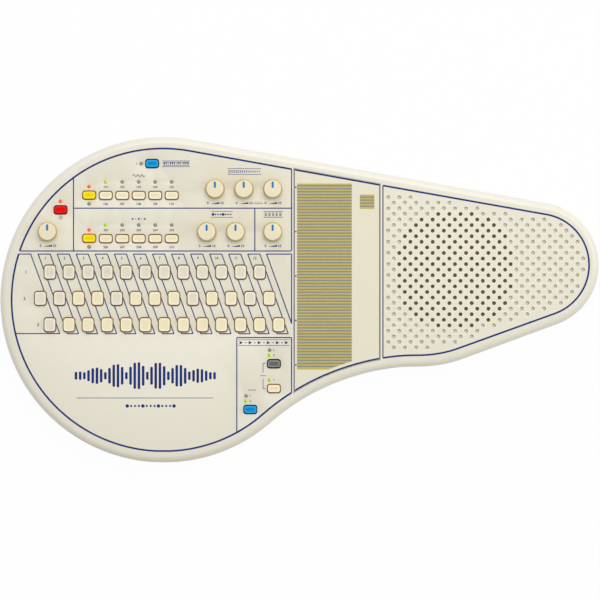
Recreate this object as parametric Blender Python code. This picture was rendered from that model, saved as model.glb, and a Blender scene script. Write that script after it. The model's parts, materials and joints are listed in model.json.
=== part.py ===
"""Electronic autoharp: chord keys and rhythm controls on a round body, a strum plate and a speaker.

Metres, +Z up. The instrument lies on its feet. +X runs from the round body to the nose of the neck,
+Y is the side away from the player. The origin is on the table under the middle of the outline.
"""

import math

import bmesh
import bpy

MM = 0.001

# Outline of the case from above: a round body, a round nose, a convex hip and a hollow waist
LENGTH = 599.2 * MM
BODY_RADIUS = 163.0 * MM
NOSE_RADIUS = 63.0 * MM
NOSE_Y = 34.75 * MM
HIP_RADIUS = 127.0 * MM
HIP_BEHIND_NOSE = 119.1 * MM
WAIST_Y = -66.85 * MM
BODY_STEPS = 30
NOSE_STEPS = 16
HIP_STEPS = 3
WAIST_STEPS = 7

# Heights
FOOT_HEIGHT = 4.0 * MM
CASE_HEIGHT = 48.0 * MM
BOTTOM_CASE_HEIGHT = 24.0 * MM

# Case mouldings
GAP = 0.3 * MM
WALL = 2.6 * MM
PANEL = 3.0 * MM
RIM_RADIUS = 6.5 * MM
BOTTOM_EDGE_RADIUS = 9.0 * MM
BOTTOM_DRAFT = 0.8 * MM
PARTING_CHAMFER = 0.6 * MM
INNER_CHAMFER = 3.0 * MM
TONGUE = 1.2 * MM
TONGUE_HEIGHT = 3.0 * MM
EDGE_STEPS = 3

# Strum plate, set into the panel
STRUM_FROM_BODY_CENTRE = 130.8 * MM
STRUM_WIDTH = 86.7 * MM
STRUM_RIM = 10.8 * MM
STRUM_THICKNESS = 1.2 * MM
STRUM_SUNK = 0.5 * MM

# Grille: a staggered grid of holes in front of the speaker
GRILLE_RADIUS = 61.0 * MM
GRILLE_PITCH = 5.57 * MM
GRILLE_HOLE_RADIUS = 1.9 * MM
GRILLE_SIDES = 6
GRILLE_FROM_STRUM = 13.6 * MM
SPEAKER_Y = 30.25 * MM

# Speaker
SPEAKER_FLANGE_RADIUS = 60.0 * MM
SPEAKER_FLANGE = 2.0 * MM
SURROUND_RADIUS = 53.0 * MM
CONE_DEPTH = 13.0 * MM
DUST_CAP_RADIUS = 14.0 * MM
DUST_CAP_HEIGHT = 4.0 * MM
BASKET_DEPTH = 20.0 * MM
MAGNET_RADIUS = 30.0 * MM
MAGNET_HEIGHT = 13.0 * MM
SPEAKER_STEPS = 20

# Keys
KEY_CLEARANCE = 0.35 * MM
CHORD_KEY_LIP = 1.4 * MM
FUNCTION_KEY_LIP = 1.0 * MM
KEY_LIP_THICKNESS = 1.5 * MM
KEY_EDGE = 0.8 * MM
CHORD_KEY_WIDTH = 12.25 * MM
CHORD_KEY_DEPTH = 15.5 * MM
CHORD_KEY_CORNER = 2.0 * MM
CHORD_KEY_STAND = 4.5 * MM
CHORD_KEY_TRAVEL = 2.5 * MM
CHORD_PITCH = 19.06 * MM
CHORD_ROW_PITCH = 26.3 * MM
CHORD_FIELD_Y = 1.6 * MM
CHORD_MARGIN = 8.7 * MM
CHORD_COUNTS = {"major": 12, "minor": 13, "seventh": 13}
GREY_KEYS = {"minor": (1, 2, 5, 9, 12), "seventh": (1,)}
FUNCTION_KEY_WIDTH = 13.9 * MM
FUNCTION_KEY_DEPTH = 9.5 * MM
FUNCTION_KEY_CORNER = 1.9 * MM
FUNCTION_KEY_STAND = 3.0 * MM
FUNCTION_KEY_TRAVEL = 0.8 * MM
FUNCTION_PITCH = 16.48 * MM
FUNCTION_COUNT = 5

# Places of the function keys: X from the body's centre, Y from its upper or lower edge
BANK_KEY_X = -73.65 * MM
VOICE_FROM_TOP = 58.45 * MM
PATTERN_FROM_TOP = 101.65 * MM
POWER_KEY_X = -102.35 * MM
POWER_FROM_TOP = 73.15 * MM
KEYBOARD_KEY_X = -10.75 * MM
KEYBOARD_FROM_TOP = 26.85 * MM
MODE_KEY_X = 111.05 * MM
MODE_FROM_BOTTOM = 99.0 * MM
HOLD_FROM_BOTTOM = 74.15 * MM
START_KEY_X = 87.45 * MM
START_FROM_BOTTOM = 53.25 * MM

# Knobs, on the shafts of rotary controls
KNOB_BASE_RADIUS = 10.1 * MM
KNOB_TOP_RADIUS = 8.9 * MM
KNOB_EDGE = 1.2 * MM
KNOB_HEIGHT = 11.5 * MM
KNOB_STEPS = 16
POINTER_WIDTH = 2.0 * MM
POINTER_DEPTH = 0.5 * MM
POINTER_INNER = 0.6 * MM
POINTER_OUTER = 6.7 * MM
SHAFT_RADIUS = 3.0 * MM
SHAFT_CLEARANCE = 0.4 * MM
SHAFT_IN_KNOB = 7.0 * MM
CONTROL_SIZE = 10.0 * MM
MASTER_X = -115.25 * MM
MASTER_FROM_TOP = 94.85 * MM
UPPER_KNOBS_X = 52.15 * MM
UPPER_KNOB_PITCH = 28.85 * MM
UPPER_KNOBS_FROM_TOP = 52.15 * MM
TEMPO_X = 43.95 * MM
RHYTHM_VOLUME_X = 72.75 * MM
CHORD_VOLUME_X = 109.85 * MM
LOWER_KNOBS_FROM_TOP = 95.05 * MM

# Circuit board under the panel
BOARD_THICKNESS = 1.6 * MM
BOARD_RIM = 9.0 * MM
SWITCH_SIZE = 6.0 * MM
CONTACT_STRIP_WIDTH = 10.0 * MM
CONTACT_STRIP_HEIGHT = 1.2 * MM
BOSS_RADIUS = 3.5 * MM
LEFT_BOSS_X = -135.0 * MM

# Sockets in a recess of the far side wall
SOCKET_COUNT = 3
SOCKET_PITCH = 20.0 * MM
SOCKET_X = -4.0 * MM
SOCKET_BORE_RADIUS = 3.2 * MM
SOCKET_HOLE_RADIUS = 5.5 * MM
SOCKET_BODY = 12.0 * MM
SOCKET_LENGTH = 16.0 * MM
SOCKET_BORE_DEPTH = 13.0 * MM
SOCKET_Z = 16.0 * MM
RECESS_LENGTH = 64.0 * MM
RECESS_HEIGHT = 12.5 * MM
RECESS_DEPTH = 6.0 * MM

# Battery bay in the underside, closed by a hinged cover
BAY_LENGTH = 116.0 * MM
BAY_WIDTH = 62.0 * MM
BAY_DEPTH = 18.0 * MM
BAY_WALL = 2.2 * MM
BAY_LEDGE = 4.0 * MM
COVER_THICKNESS = 2.0 * MM
COVER_CHAMFER = 0.5 * MM
GRIP_LENGTH = 18.0 * MM
GRIP_WIDTH = 5.0 * MM
GRIP_DEPTH = 1.2 * MM

# Rubber feet
FOOT_RADIUS = 9.0 * MM
FOOT_CHAMFER = 1.0 * MM
FEET_ON_CIRCLE = 118.0 * MM
FOOT_ANGLES = (45.0, 135.0, 225.0, 315.0)
FOOT_STEPS = 12

# Derived places
BODY_X = BODY_RADIUS - LENGTH / 2
NOSE_X = LENGTH / 2 - NOSE_RADIUS
HIP_X = NOSE_X - HIP_BEHIND_NOSE
HIP_Y = WAIST_Y + HIP_RADIUS
BASE_Z = FOOT_HEIGHT
PANEL_Z = BASE_Z + CASE_HEIGHT
PARTING_Z = BASE_Z + BOTTOM_CASE_HEIGHT
UNDER_PANEL_Z = PANEL_Z - PANEL
TONGUE_OUTSIDE = WALL + GAP
TONGUE_INSIDE = TONGUE_OUTSIDE + TONGUE
STRUM_LEFT = BODY_X + STRUM_FROM_BODY_CENTRE
STRUM_RIGHT = STRUM_LEFT + STRUM_WIDTH
STRUM_TOP_Z = PANEL_Z - STRUM_SUNK
SPEAKER_X = STRUM_RIGHT + GRILLE_FROM_STRUM + GRILLE_RADIUS
KEY_LIP_TOP_Z = UNDER_PANEL_Z - GAP
KEY_BOTTOM_Z = KEY_LIP_TOP_Z - KEY_LIP_THICKNESS
CONTACT_TOP_Z = KEY_BOTTOM_Z - CHORD_KEY_TRAVEL - GAP
BOARD_TOP_Z = CONTACT_TOP_Z - CONTACT_STRIP_HEIGHT
SWITCH_TOP_Z = KEY_BOTTOM_Z - FUNCTION_KEY_TRAVEL - GAP
KNOB_BOTTOM_Z = PANEL_Z + GAP
EMBED = 0.2 * MM
MERGE = 0.001 * MM


def linear(level):
    """One sRGB level out of 255 as the linear value that a material stores."""
    share = level / 255
    if share <= 0.04045:
        return share / 12.92
    return ((share + 0.055) / 1.055) ** 2.4


def plastic(name, rgb, roughness, metallic=0.0):
    material = bpy.data.materials.new(name)
    material.use_nodes = True
    shader = material.node_tree.nodes["Principled BSDF"]
    shader.inputs["Base Color"].default_value = (*[linear(level) for level in rgb], 1.0)
    shader.inputs["Roughness"].default_value = roughness
    shader.inputs["Metallic"].default_value = metallic
    return material


def clear_scene():
    for old in list(bpy.data.objects):
        bpy.data.objects.remove(old, do_unlink=True)


# Outline


def arc(centre, radius, start, end, steps):
    """Points on an arc, both ends included. Angles are in radians."""
    angles = [start + (end - start) * i / steps for i in range(steps + 1)]
    return [(centre[0] + radius * math.cos(a), centre[1] + radius * math.sin(a)) for a in angles]


def tangent_normal(centre_a, radius_a, centre_b, radius_b, side):
    """Angle of the common outer normal of two circles, on the left (1) or right (-1) going from a to b."""
    dx = centre_b[0] - centre_a[0]
    dy = centre_b[1] - centre_a[1]
    spread = math.acos((radius_a - radius_b) / math.hypot(dx, dy))
    return math.atan2(dy, dx) + side * spread


def waist_radius():
    """Radius of the hollow arc that touches the hip at its lowest point and the round body."""
    reach = HIP_X - BODY_X
    return (reach**2 + WAIST_Y**2 - BODY_RADIUS**2) / (2 * (BODY_RADIUS + WAIST_Y))


def outline(inset):
    """The case outline moved inwards by inset, counterclockwise, as points in XY."""
    body = (BODY_X, 0.0)
    nose = (NOSE_X, NOSE_Y)
    hip = (HIP_X, HIP_Y)
    hollow = waist_radius()
    waist = (HIP_X, WAIST_Y - hollow)
    top = tangent_normal(body, BODY_RADIUS, nose, NOSE_RADIUS, 1)
    lower = tangent_normal(hip, HIP_RADIUS, nose, NOSE_RADIUS, -1)
    waist_angle = math.atan2(-waist[1], BODY_X - waist[0])
    points = arc(body, BODY_RADIUS - inset, top, waist_angle + math.pi, BODY_STEPS)
    points += arc(waist, hollow + inset, waist_angle, math.pi / 2, WAIST_STEPS)[1:-1]
    points += arc(hip, HIP_RADIUS - inset, -math.pi / 2, lower, HIP_STEPS)
    points += arc(nose, NOSE_RADIUS - inset, lower, top, NOSE_STEPS)
    return points


# Mesh building


def at_height(points, z):
    return [(x, y, z) for x, y in points]


def add_loft(mesh, rings):
    """Adds a closed solid through rings of equal length, with a flat cap on the first and the last."""
    loops = [[mesh.verts.new(point) for point in ring] for ring in rings]
    for lower, upper in zip(loops, loops[1:]):
        for i in range(len(lower)):
            j = (i + 1) % len(lower)
            mesh.faces.new((lower[i], lower[j], upper[j], upper[i]))
    mesh.faces.new(list(reversed(loops[0])))
    mesh.faces.new(loops[-1])


def add_prism(mesh, points, low, high):
    add_loft(mesh, [at_height(points, low), at_height(points, high)])


def rectangle(x, y, width, depth):
    half_w = width / 2
    half_d = depth / 2
    return [
        (x - half_w, y - half_d),
        (x + half_w, y - half_d),
        (x + half_w, y + half_d),
        (x - half_w, y + half_d),
    ]


def add_box(mesh, x, y, width, depth, low, high):
    add_prism(mesh, rectangle(x, y, width, depth), low, high)


def circle(x, y, radius, steps, turn=0.0):
    angles = [2 * math.pi * (i + turn) / steps for i in range(steps)]
    return [(x + radius * math.cos(a), y + radius * math.sin(a)) for a in angles]


def cut_corners(x, y, width, depth, corner):
    """A rectangle with its corners cut off at 45 degrees. With no cut, two points lie at each corner."""
    half_w = width / 2
    half_d = depth / 2
    points = []
    for sx, sy in ((1, 1), (-1, 1), (-1, -1), (1, -1)):
        end = (x + sx * half_w, y + sy * (half_d - corner))
        start = (x + sx * (half_w - corner), y + sy * half_d)
        points += [end, start] if sx == sy else [start, end]
    return points


def finish_mesh(mesh, name):
    """Points that share a place become one, so doubled corners close onto cut corners."""
    bmesh.ops.remove_doubles(mesh, verts=mesh.verts, dist=MERGE)
    bmesh.ops.recalc_face_normals(mesh, faces=mesh.faces)
    data = bpy.data.meshes.new(name)
    mesh.to_mesh(data)
    mesh.free()
    return data


def make_object(name, data, material=None, smooth_below=30.0):
    made = bpy.data.objects.new(name, data)
    bpy.context.scene.collection.objects.link(made)
    if material:
        if not data.materials:
            data.materials.append(material)
        data.shade_smooth()
        data.set_sharp_from_angle(angle=math.radians(smooth_below))
    return made


def make_cutter(name, mesh):
    cutter = make_object(name, finish_mesh(mesh, name))
    cutter.hide_render = True
    cutter.display_type = "WIRE"
    return cutter


def combine(target, other, operation):
    modifier = target.modifiers.new(f"{operation.lower()}_{other.name}", "BOOLEAN")
    modifier.operation = operation
    modifier.object = other
    modifier.use_hole_tolerant = True


# Places of the controls


def chord_key_places():
    """Name, X and Y of each chord key. The seventh row ends beside the strum plate."""
    last_x = STRUM_LEFT - CHORD_MARGIN - CHORD_KEY_WIDTH / 2
    first_x = last_x - CHORD_PITCH * (CHORD_COUNTS["seventh"] - 1)
    starts = {"major": first_x, "minor": first_x - CHORD_PITCH / 2, "seventh": first_x}
    places = []
    for row, (kind, count) in enumerate(CHORD_COUNTS.items()):
        y = CHORD_FIELD_Y + CHORD_ROW_PITCH * (1 - row)
        for i in range(count):
            places.append((f"chord_key_{kind}_{i + 1:02d}", starts[kind] + i * CHORD_PITCH, y))
    return places


def from_top(distance):
    return BODY_RADIUS - distance


def from_bottom(distance):
    return distance - BODY_RADIUS


def single_key_places():
    return {
        "power_key": (BODY_X + POWER_KEY_X, from_top(POWER_FROM_TOP)),
        "keyboard_key": (BODY_X + KEYBOARD_KEY_X, from_top(KEYBOARD_FROM_TOP)),
        "voice_bank_key": (BODY_X + BANK_KEY_X, from_top(VOICE_FROM_TOP)),
        "pattern_bank_key": (BODY_X + BANK_KEY_X, from_top(PATTERN_FROM_TOP)),
        "chord_mode_key": (BODY_X + MODE_KEY_X, from_bottom(MODE_FROM_BOTTOM)),
        "chord_hold_key": (BODY_X + MODE_KEY_X, from_bottom(HOLD_FROM_BOTTOM)),
        "rhythm_start_key": (BODY_X + START_KEY_X, from_bottom(START_FROM_BOTTOM)),
    }


def strip_key_places(distance_from_top):
    first_x = BODY_X + BANK_KEY_X + FUNCTION_PITCH
    y = from_top(distance_from_top)
    return [(first_x + i * FUNCTION_PITCH, y) for i in range(FUNCTION_COUNT)]


def knob_places():
    upper_y = from_top(UPPER_KNOBS_FROM_TOP)
    lower_y = from_top(LOWER_KNOBS_FROM_TOP)
    upper_x = BODY_X + UPPER_KNOBS_X
    return {
        "master_volume_knob": (BODY_X + MASTER_X, from_top(MASTER_FROM_TOP)),
        "strum_sustain_knob": (upper_x, upper_y),
        "strum_main_knob": (upper_x + UPPER_KNOB_PITCH, upper_y),
        "strum_sub_knob": (upper_x + 2 * UPPER_KNOB_PITCH, upper_y),
        "tempo_knob": (BODY_X + TEMPO_X, lower_y),
        "rhythm_volume_knob": (BODY_X + RHYTHM_VOLUME_X, lower_y),
        "chord_volume_knob": (BODY_X + CHORD_VOLUME_X, lower_y),
    }


def function_key_places():
    places = list(single_key_places().values())
    return places + strip_key_places(VOICE_FROM_TOP) + strip_key_places(PATTERN_FROM_TOP)


def grille_holes():
    """Places of the through holes: every second point of a square grid that is centred on the speaker."""
    reach = int(GRILLE_RADIUS / GRILLE_PITCH) + 1
    holes = []
    for i in range(-reach, reach + 1):
        for j in range(-reach, reach + 1):
            near = math.hypot(i, j) * GRILLE_PITCH <= GRILLE_RADIUS
            if (i + j) % 2 and near:
                holes.append((SPEAKER_X + i * GRILLE_PITCH, SPEAKER_Y + j * GRILLE_PITCH))
    return holes


# Case


def round_edge(inset, z, radius, upward):
    """Inset and height pairs round a quarter-circle edge: up and inwards, or down and inwards."""
    steps = [math.pi / 2 * i / EDGE_STEPS for i in range(EDGE_STEPS + 1)]
    return [
        (inset + radius * (1 - math.cos(a)), z + upward * radius * math.sin(a)) for a in steps
    ]


def case_rings(profile):
    return [at_height(outline(inset), z) for inset, z in profile]


def strum_cutter(name, clearance, low, high):
    """A slab in the shape of the strum plate, grown by a clearance: the outline's inset cut to a strip."""
    mesh = bmesh.new()
    add_prism(mesh, outline(STRUM_RIM - clearance), low, high)
    slab = make_cutter(name, mesh)
    mesh = bmesh.new()
    middle = (STRUM_LEFT + STRUM_RIGHT) / 2
    width = STRUM_WIDTH + 2 * clearance
    add_box(mesh, middle, 0.0, width, 4 * BODY_RADIUS, low - PANEL, high + PANEL)
    strip = make_cutter(name + "_strip", mesh)
    combine(slab, strip, "INTERSECT")
    return slab


def panel_openings():
    """All the holes through the panel, as one cutter."""
    low = UNDER_PANEL_Z - PANEL
    high = PANEL_Z + PANEL
    mesh = bmesh.new()
    slot_w = CHORD_KEY_WIDTH + 2 * KEY_CLEARANCE
    slot_d = CHORD_KEY_DEPTH + 2 * KEY_CLEARANCE
    for _, x, y in chord_key_places():
        add_box(mesh, x, y, slot_w, slot_d, low, high)
    slot_w = FUNCTION_KEY_WIDTH + 2 * KEY_CLEARANCE
    slot_d = FUNCTION_KEY_DEPTH + 2 * KEY_CLEARANCE
    for x, y in function_key_places():
        add_box(mesh, x, y, slot_w, slot_d, low, high)
    for x, y in knob_places().values():
        add_prism(mesh, circle(x, y, SHAFT_RADIUS + 2 * SHAFT_CLEARANCE, 8), low, high)
    for x, y in grille_holes():
        add_prism(mesh, circle(x, y, GRILLE_HOLE_RADIUS, GRILLE_SIDES), low, high)
    return make_cutter("panel_openings", mesh)


def boss_places():
    """Screw bosses that carry the board: between the key rows, and beside the strum plate."""
    row_gap = CHORD_FIELD_Y + CHORD_ROW_PITCH / 2
    far_y = from_top(KEYBOARD_FROM_TOP)
    near_y = from_bottom(START_FROM_BOTTOM)
    strum_x = (STRUM_LEFT + STRUM_RIGHT) / 2
    return [
        (BODY_X + LEFT_BOSS_X, CHORD_FIELD_Y + CHORD_ROW_PITCH),
        (BODY_X, near_y),
        (BODY_X + UPPER_KNOBS_X, far_y),
        (STRUM_LEFT - CHORD_MARGIN / 2, row_gap),
        (strum_x, row_gap),
    ]


def make_top_case(material):
    profile = [
        (WALL + INNER_CHAMFER, UNDER_PANEL_Z),
        (WALL, UNDER_PANEL_Z - INNER_CHAMFER),
        (WALL, PARTING_Z + GAP),
        (PARTING_CHAMFER, PARTING_Z + GAP),
        (0.0, PARTING_Z + GAP + PARTING_CHAMFER),
    ]
    profile += round_edge(0.0, PANEL_Z - RIM_RADIUS, RIM_RADIUS, 1)
    mesh = bmesh.new()
    add_loft(mesh, case_rings(profile))
    top = make_object("top_case", finish_mesh(mesh, "top_case"), material)
    mesh = bmesh.new()
    for x, y in boss_places():
        add_prism(mesh, circle(x, y, BOSS_RADIUS, 8), BOARD_TOP_Z + GAP, UNDER_PANEL_Z + EMBED)
    combine(top, make_cutter("board_bosses", mesh), "UNION")
    combine(top, panel_openings(), "DIFFERENCE")
    recess_floor = STRUM_TOP_Z - STRUM_THICKNESS - GAP
    recess = strum_cutter("strum_recess", GAP, recess_floor, PANEL_Z + PANEL)
    combine(top, recess, "DIFFERENCE")
    return top


def foot_places():
    places = []
    for degrees in FOOT_ANGLES:
        a = math.radians(degrees)
        places.append((BODY_X + FEET_ON_CIRCLE * math.cos(a), FEET_ON_CIRCLE * math.sin(a)))
    places.append((NOSE_X, NOSE_Y))
    return places


def feet_and_bay_floor():
    """The feet below the bottom case and the raised floor round the battery bay."""
    mesh = bmesh.new()
    for x, y in foot_places():
        foot = [
            at_height(circle(x, y, FOOT_RADIUS - FOOT_CHAMFER, FOOT_STEPS), 0.0),
            at_height(circle(x, y, FOOT_RADIUS, FOOT_STEPS), FOOT_CHAMFER),
            at_height(circle(x, y, FOOT_RADIUS, FOOT_STEPS), BASE_Z + EMBED),
        ]
        add_loft(mesh, foot)
    tier_z = BASE_Z + COVER_THICKNESS + GAP + BAY_WALL
    spread = 2 * (BAY_LEDGE + GAP + BAY_WALL)
    wide = BAY_LENGTH + spread
    deep = BAY_WIDTH + spread
    floor_z = BASE_Z + WALL - EMBED
    add_box(mesh, BODY_X, 0.0, wide, deep, floor_z, tier_z)
    return make_cutter("feet_and_bay_floor", mesh)


def bay_walls():
    mesh = bmesh.new()
    tier_z = BASE_Z + COVER_THICKNESS + GAP + BAY_WALL
    wide = BAY_LENGTH + 2 * BAY_WALL
    deep = BAY_WIDTH + 2 * BAY_WALL
    add_box(mesh, BODY_X, 0.0, wide, deep, tier_z - EMBED, BASE_Z + BAY_DEPTH + BAY_WALL)
    return make_cutter("bay_walls", mesh)


def recess_walls():
    """The thick wall round the socket recess: a box trimmed to lie within the case's own wall."""
    mesh = bmesh.new()
    length = RECESS_LENGTH + 2 * WALL
    height = RECESS_HEIGHT + 2 * WALL
    inside_y = BODY_RADIUS - RECESS_DEPTH - WALL
    depth = BODY_RADIUS - inside_y
    low = SOCKET_Z - height / 2
    add_box(mesh, socket_centre_x(), inside_y + depth / 2, length, depth, low, low + height)
    walls = make_cutter("recess_walls", mesh)
    mesh = bmesh.new()
    add_prism(mesh, outline(WALL / 2), low - WALL, low + height + WALL)
    combine(walls, make_cutter("recess_trim", mesh), "INTERSECT")
    return walls


def socket_centre_x():
    return BODY_X + SOCKET_X


def socket_places():
    middle = (SOCKET_COUNT - 1) / 2
    return [socket_centre_x() + (i - middle) * SOCKET_PITCH for i in range(SOCKET_COUNT)]


def cylinder_along_y(mesh, x, z, radius, near, far, steps):
    ring = circle(x, z, radius, steps, 0.5)
    add_loft(mesh, [[(px, y, pz) for px, pz in ring] for y in (near, far)])


def bottom_cuts():
    """The bay, the seat of its cover, the socket recess and the holes in it."""
    mesh = bmesh.new()
    seat_wide = BAY_LENGTH + 2 * (BAY_LEDGE + GAP)
    seat_deep = BAY_WIDTH + 2 * (BAY_LEDGE + GAP)
    seat_z = BASE_Z + COVER_THICKNESS + GAP
    add_box(mesh, BODY_X, 0.0, seat_wide, seat_deep, BASE_Z - WALL, seat_z)
    seat = make_cutter("cover_seat", mesh)
    mesh = bmesh.new()
    add_box(mesh, BODY_X, 0.0, BAY_LENGTH, BAY_WIDTH, BASE_Z, BASE_Z + BAY_DEPTH)
    bay = make_cutter("battery_bay", mesh)
    mesh = bmesh.new()
    recess_y = BODY_RADIUS - RECESS_DEPTH
    low = SOCKET_Z - RECESS_HEIGHT / 2
    high = SOCKET_Z + RECESS_HEIGHT / 2
    add_box(mesh, socket_centre_x(), recess_y + RECESS_DEPTH, RECESS_LENGTH, 2 * RECESS_DEPTH, low, high)
    recess = make_cutter("socket_recess", mesh)
    mesh = bmesh.new()
    for x in socket_places():
        cylinder_along_y(mesh, x, SOCKET_Z, SOCKET_HOLE_RADIUS, recess_y - 2 * WALL, recess_y + WALL, 12)
    return [seat, bay, recess, make_cutter("socket_holes", mesh)]


def make_bottom_case(material):
    profile = [
        (TONGUE_INSIDE + INNER_CHAMFER, BASE_Z + WALL),
        (TONGUE_INSIDE, BASE_Z + WALL + INNER_CHAMFER),
        (TONGUE_INSIDE, PARTING_Z + TONGUE_HEIGHT),
        (TONGUE_OUTSIDE, PARTING_Z + TONGUE_HEIGHT),
        (TONGUE_OUTSIDE, PARTING_Z),
        (PARTING_CHAMFER, PARTING_Z),
        (0.0, PARTING_Z - PARTING_CHAMFER),
    ]
    profile += round_edge(BOTTOM_DRAFT, BASE_Z + BOTTOM_EDGE_RADIUS, BOTTOM_EDGE_RADIUS, -1)
    mesh = bmesh.new()
    add_loft(mesh, case_rings(profile))
    bottom = make_object("bottom_case", finish_mesh(mesh, "bottom_case"), material)
    combine(bottom, feet_and_bay_floor(), "UNION")
    combine(bottom, bay_walls(), "UNION")
    combine(bottom, recess_walls(), "UNION")
    for cutter in bottom_cuts():
        combine(bottom, cutter, "DIFFERENCE")
    return bottom


def make_strum_plate(material):
    low = STRUM_TOP_Z - STRUM_THICKNESS
    plate = strum_cutter("strum_plate", 0.0, low, STRUM_TOP_Z)
    plate.hide_render = False
    plate.display_type = "TEXTURED"
    plate.data.materials.append(material)
    return plate


def make_battery_cover(material):
    """A plate hinged on its far edge, with a finger groove near the other. Its origin is on the hinge."""
    long = BAY_LENGTH + 2 * BAY_LEDGE
    deep = BAY_WIDTH + 2 * BAY_LEDGE
    mesh = bmesh.new()
    rings = [
        at_height(rectangle(0.0, -deep / 2, long - 2 * COVER_CHAMFER, deep - 2 * COVER_CHAMFER), 0.0),
        at_height(rectangle(0.0, -deep / 2, long, deep), COVER_CHAMFER),
        at_height(rectangle(0.0, -deep / 2, long, deep), COVER_THICKNESS),
    ]
    add_loft(mesh, rings)
    cover = make_object("battery_cover", finish_mesh(mesh, "battery_cover"), material)
    cover.location = (BODY_X, deep / 2, BASE_Z)
    mesh = bmesh.new()
    grip_y = -deep / 2 + 2 * GRIP_WIDTH
    add_box(mesh, BODY_X, grip_y, GRIP_LENGTH, GRIP_WIDTH, BASE_Z - WALL, BASE_Z + GRIP_DEPTH)
    combine(cover, make_cutter("finger_groove", mesh), "DIFFERENCE")
    return cover


# Controls


def key_rings(width, depth, corner, stand, lip_width):
    """A cap on a retaining lip, centred on the Z axis at world height."""
    edge = 2 * KEY_EDGE
    shoulder = cut_corners(0, 0, width, depth, corner)
    crown = cut_corners(0, 0, width - edge, depth - edge, corner - KEY_EDGE / 2)
    lip = cut_corners(0, 0, width + 2 * lip_width, depth + 2 * lip_width, 0)
    return [
        at_height(lip, KEY_BOTTOM_Z),
        at_height(lip, KEY_LIP_TOP_Z),
        at_height(shoulder, KEY_LIP_TOP_Z),
        at_height(shoulder, PANEL_Z + stand - KEY_EDGE),
        at_height(crown, PANEL_Z + stand),
    ]


def key_mesh(name, width, depth, corner, stand, lip_width):
    mesh = bmesh.new()
    add_loft(mesh, key_rings(width, depth, corner, stand, lip_width))
    return finish_mesh(mesh, name)


def make_chord_keys(cream, grey):
    """Caps of two shades: grey for every major key, the first of each row and some minor ones."""
    data = key_mesh(
        "chord_key", CHORD_KEY_WIDTH, CHORD_KEY_DEPTH, CHORD_KEY_CORNER, CHORD_KEY_STAND, CHORD_KEY_LIP
    )
    for name, x, y in chord_key_places():
        kind, number = name.split("_")[2:]
        is_grey = kind == "major" or int(number) in GREY_KEYS[kind]
        key = make_object(name, data, grey if is_grey else cream)
        key.location = (x, y, 0.0)


def make_function_keys(materials):
    data = key_mesh(
        "function_key",
        FUNCTION_KEY_WIDTH,
        FUNCTION_KEY_DEPTH,
        FUNCTION_KEY_CORNER,
        FUNCTION_KEY_STAND,
        FUNCTION_KEY_LIP,
    )
    for name, (x, y) in single_key_places().items():
        key = make_object(name, data.copy(), materials[name])
        key.location = (x, y, 0.0)


def make_key_strip(name, distance_from_top, material):
    """Five caps moulded on one flexing strip, as such rows of switches often are."""
    places = strip_key_places(distance_from_top)
    middle_x = (places[0][0] + places[-1][0]) / 2
    y = places[0][1]
    length = places[-1][0] - places[0][0] + FUNCTION_KEY_WIDTH + 2 * FUNCTION_KEY_LIP
    depth = FUNCTION_KEY_DEPTH + 2 * FUNCTION_KEY_LIP
    mesh = bmesh.new()
    add_box(mesh, middle_x, y, length, depth, KEY_BOTTOM_Z, KEY_LIP_TOP_Z)
    strip = make_object(name, finish_mesh(mesh, name), material)
    mesh = bmesh.new()
    for x, cap_y in places:
        outer = cut_corners(x, cap_y, FUNCTION_KEY_WIDTH, FUNCTION_KEY_DEPTH, FUNCTION_KEY_CORNER)
        edge = 2 * KEY_EDGE
        crown = cut_corners(
            x, cap_y, FUNCTION_KEY_WIDTH - edge, FUNCTION_KEY_DEPTH - edge, FUNCTION_KEY_CORNER - KEY_EDGE / 2
        )
        top_z = PANEL_Z + FUNCTION_KEY_STAND
        cap = [
            at_height(outer, KEY_LIP_TOP_Z - EMBED),
            at_height(outer, top_z - KEY_EDGE),
            at_height(crown, top_z),
        ]
        add_loft(mesh, cap)
    combine(strip, make_cutter(name + "_caps", mesh), "UNION")
    return strip


def make_knobs(material):
    """Slightly tapered caps with a blind bore for the control's shaft. Each origin is on its axis."""
    top_z = PANEL_Z + KNOB_HEIGHT
    bore = SHAFT_RADIUS + SHAFT_CLEARANCE
    bore_top = KNOB_BOTTOM_Z + SHAFT_IN_KNOB + GAP
    profile = [
        (bore, bore_top),
        (bore, KNOB_BOTTOM_Z),
        (KNOB_BASE_RADIUS, KNOB_BOTTOM_Z),
        (KNOB_TOP_RADIUS, top_z - KNOB_EDGE),
        (KNOB_TOP_RADIUS - KNOB_EDGE, top_z),
    ]
    mesh = bmesh.new()
    add_loft(mesh, [at_height(circle(0, 0, radius, KNOB_STEPS), z) for radius, z in profile])
    data = finish_mesh(mesh, "knob")
    mesh = bmesh.new()
    length = POINTER_OUTER - POINTER_INNER
    add_box(mesh, 0, POINTER_INNER + length / 2, POINTER_WIDTH, length, top_z - POINTER_DEPTH, top_z + PANEL)
    groove = make_cutter("pointer_groove", mesh)
    for name, (x, y) in knob_places().items():
        knob = make_object(name, data, material)
        knob.location = (x, y, 0.0)
        own_groove = groove.copy()
        own_groove.name = name + "_groove"
        bpy.context.scene.collection.objects.link(own_groove)
        own_groove.location = knob.location
        combine(knob, own_groove, "DIFFERENCE")
    bpy.data.objects.remove(groove, do_unlink=True)


# Inside


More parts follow.
